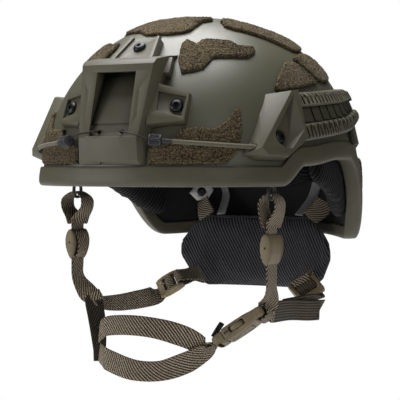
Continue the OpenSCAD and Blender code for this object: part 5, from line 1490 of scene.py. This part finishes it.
class HELMET_OT_pads(bpy.types.Operator):
    """Foam pads inside the shell and the pad at the nape, in ribbed mesh covers"""

    bl_idname = "helmet.pads"
    bl_label = "Pads"

    def skin_pad(self, name, stations, back, form, side=1, nt=40, nz=26):
        """Cushion on the shell's inside: its depth is full times the crowns of both directions."""
        line = route(stations, nt)
        u = np.linspace(-1, 1, nt + 1)[:, None]
        v = np.linspace(-1, 1, nz + 1)[None]
        mid, half = (line[:, 1:2] + line[:, 2:3]) / 2, (line[:, 2:3] - line[:, 1:2]) / 2 * (0.75 + 0.25 * swell(u))
        e = 0.35 + 0.65 * swell(u) * swell(v)
        o = -form.shell_wall - back
        t = np.broadcast_to(line[:, :1], e.shape)
        front = form.skin(t, mid + half * v * 0.97, o - (form.pad_t - 1.0) * e)
        rear = form.skin(t, mid + half * v, o)
        obj = loft(name, np.concatenate([front, rear[:, ::-1]], 1), side=side)

        def polar(p):
            """Angle round the helmet and distance from its axis."""
            return np.degrees(np.arctan2(p[:, 0] * side, -p[:, 1])), np.hypot(p[:, 0], p[:, 1])

        def held(p):
            a, r = polar(p)
            return r - form.plan_r(a) * form.height_r(p[:, 2]) > o - 3.2

        puffed(obj, held, 2.0)

        def across(p):
            a, r = polar(p)
            return np.stack([np.radians(a) * PAD_REACH + r * (side > 0), p[:, 2]], -1) @ RIB_SLANT

        unwrap(obj, across)
        return obj

    def crown_pad(self, form):
        """Disc under the crown, following its curve, with its lower face crowned."""
        r, rings, m = 46, 18, 60
        under = form.shell_wall + 0.6
        a = np.arange(m) * FULL_TURN / m

        def sheet(q, depth):
            """Points at distance q from the axis, depth below the shell's outside."""
            x, y = q[:, None] * np.sin(a), -q[:, None] * np.cos(a)
            f = np.minimum(1, q[:, None] / form.plan_r(np.degrees(a), -depth))
            z = (form.shell_h - depth) * (1 - f ** form.dome_power) ** (1 / form.dome_power)
            return np.stack([x, y, z], -1)

        share = np.linspace(0, 1, rings + 1)
        e = (0.35 + 0.65 * swell(share))[:, None]
        inner = sheet(r * 0.97 * np.sqrt(share) + 0.5, under + (form.pad_t - 1) * e)
        outer = sheet(r * np.sqrt(share[::-1]) + 0.5, under)
        obj = loft("crown_cushion", np.concatenate([inner, outer])[:, ::-1])
        puffed(obj, lambda p: p[:, 2] > form.shell_h - under - 4.2 - 0.012 * np.hypot(p[:, 0], p[:, 1]) ** 2, 2.0)
        unwrap(obj, lambda p: p[:, :2])
        return obj

    def nape_pad(self):
        """Pad behind the neck: half widths at heights from its lower to its upper edge, bent round by x^2."""
        nu, nv = 60, 40
        edge = np.array(NAPE_EDGE)
        height = np.linspace(edge[0, 0], edge[-1, 0], nv + 1)
        line = np.stack([height, np.interp(height, edge[:, 0], edge[:, 1])], -1)
        u = np.linspace(-1, 1, nu + 1)[None]
        z, w = line[:, :1], NAPE_W / 2 * line[:, 1:2]
        v = swell(np.linspace(-1, 1, nv + 1))[:, None]
        base = self.nape_back(u * w, z)
        front = np.stack(np.broadcast_arrays(u * w, base - (NAPE_T - 1) / 2 * (0.45 + 0.55 * swell(u) * v), z), -1)
        rear = np.stack(np.broadcast_arrays(u * w, base + (NAPE_T - 1) / 2 * (0.3 + 0.4 * swell(u) * v), z), -1)
        obj = loft("nape_cushion", np.concatenate([front, rear[:, ::-1]], 1))
        puffed(obj, lambda p: p[:, 1] > self.nape_back(p[:, 0], p[:, 2]) + 1.5, 2.2, 4.0)
        unwrap(obj, lambda p: p[:, [0, 2]])
        return obj

    def nape_back(self, x, z):
        """How far back the middle of the nape pad's edge lies: an arc by x^2, leaning with height."""
        return NAPE_Y - NAPE_BEND * (x / (NAPE_W / 2)) ** 2 - (z + 60) * 0.05

    def nape_binding(self):
        """Bound edge of the nape pad, straight between its corners, and a row of stitches beside it."""
        edge = np.array([(w * NAPE_W / 2, z) for z, w in NAPE_EDGE])
        ring = np.concatenate([edge, edge[::-1] * [-1, 1]])
        ring = np.concatenate([ring, ring[:1]])
        run = travelled(ring)

        def along(n, inset):
            """Even points on the pad's middle surface, that far inside its edge."""
            q = np.stack([np.interp(np.linspace(0, run[-1], n), run, ring[:, k]) for k in (0, 1)], -1)
            q = (q - [0, -57]) * (1 - inset / np.array([NAPE_W / 2, 31])) + [0, -57]
            return np.stack([q[:, 0], self.nape_back(q[:, 0], q[:, 1]), q[:, 1]], -1)

        piping = tube("piping", along(170, 2.0) - [0, 0.6, 0], 3.0, 12, 500, ends=False, up=(0, 1, 0))[0]
        dots = along(150, 5.0) - [0, 3.4, 0]
        stitches = [tube("stitch", [lerp(a, b, 0.25), lerp(a, b, 0.5), lerp(a, b, 0.75)], 0.7, 6, 3)[0]
                    for a, b in zip(dots[:-1:2], dots[1::2]) if abs(a[0]) > 60]
        piping.name = "nape_binding"
        return piping, joined("nape_stitches", stitches)

    def execute(self, context):
        form = Form(context.scene.helmet_sizes)
        made = [(self.skin_pad("front_cushion", FRONT_PAD, 0.6, form), "front_pad"),
                (self.skin_pad("rear_cushion", REAR_PAD, 0.6, form), "rear_pad"),
                (self.skin_pad("side_cushion_left", SIDE_PAD, 2.4, form), "side_pad_left"),
                (self.skin_pad("side_cushion_right", SIDE_PAD, 2.4, form, -1), "side_pad_right"),
                (self.crown_pad(form), "crown_pad")]
        temples = [self.skin_pad("t", TEMPLE_PAD, 0.6, form, side, 26, 22) for side in (1, -1)]
        made.append((joined("temple_cushions", temples), "temple_pads"))
        for obj, node in made:
            finish_piece(obj, finish("pad"), nodes=[node])
        nape = self.nape_pad()
        finish_piece(nape, finish("nape"), nodes=["nape_pad"])
        binding, stitches = self.nape_binding()
        finish_piece(smooth(binding, 60), finish("binding"))
        finish_piece(stitches, finish("thread"))
        return {"FINISHED"}


OPERATORS = (HELMET_OT_stage, HELMET_OT_lanyards, HELMET_OT_shell, HELMET_OT_trim, HELMET_OT_patches,
             HELMET_OT_fittings, HELMET_OT_screws, HELMET_OT_harness, HELMET_OT_buckles, HELMET_OT_pads)


class HELMET_PT_panel(bpy.types.Panel):
    """Sidebar panel with the helmet's sizes, colours and pieces"""

    bl_idname = "HELMET_PT_panel"
    bl_label = "Helmet"
    bl_space_type = "VIEW_3D"
    bl_region_type = "UI"
    bl_category = "Helmet"

    def draw(self, context):
        for group in (context.scene.helmet_sizes, context.scene.helmet_colours):
            for key in group.__annotations__:
                self.layout.prop(group, key)
        for kind in OPERATORS:
            self.layout.operator(kind.bl_idname)


CLASSES = (HelmetSizes, HelmetColours, *OPERATORS, HELMET_PT_panel)


def register():
    for kind in CLASSES:
        bpy.utils.register_class(kind)
    bpy.types.Scene.helmet_sizes = PointerProperty(type=HelmetSizes)
    bpy.types.Scene.helmet_colours = PointerProperty(type=HelmetColours)


def unregister():
    del bpy.types.Scene.helmet_colours
    del bpy.types.Scene.helmet_sizes
    for kind in reversed(CLASSES):
        bpy.utils.unregister_class(kind)


def main():
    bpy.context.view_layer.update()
    register()
    for kind in OPERATORS:
        group, name = kind.bl_idname.split(".")
        getattr(getattr(bpy.ops, group), name)()


if __name__ == "__main__":
    main()
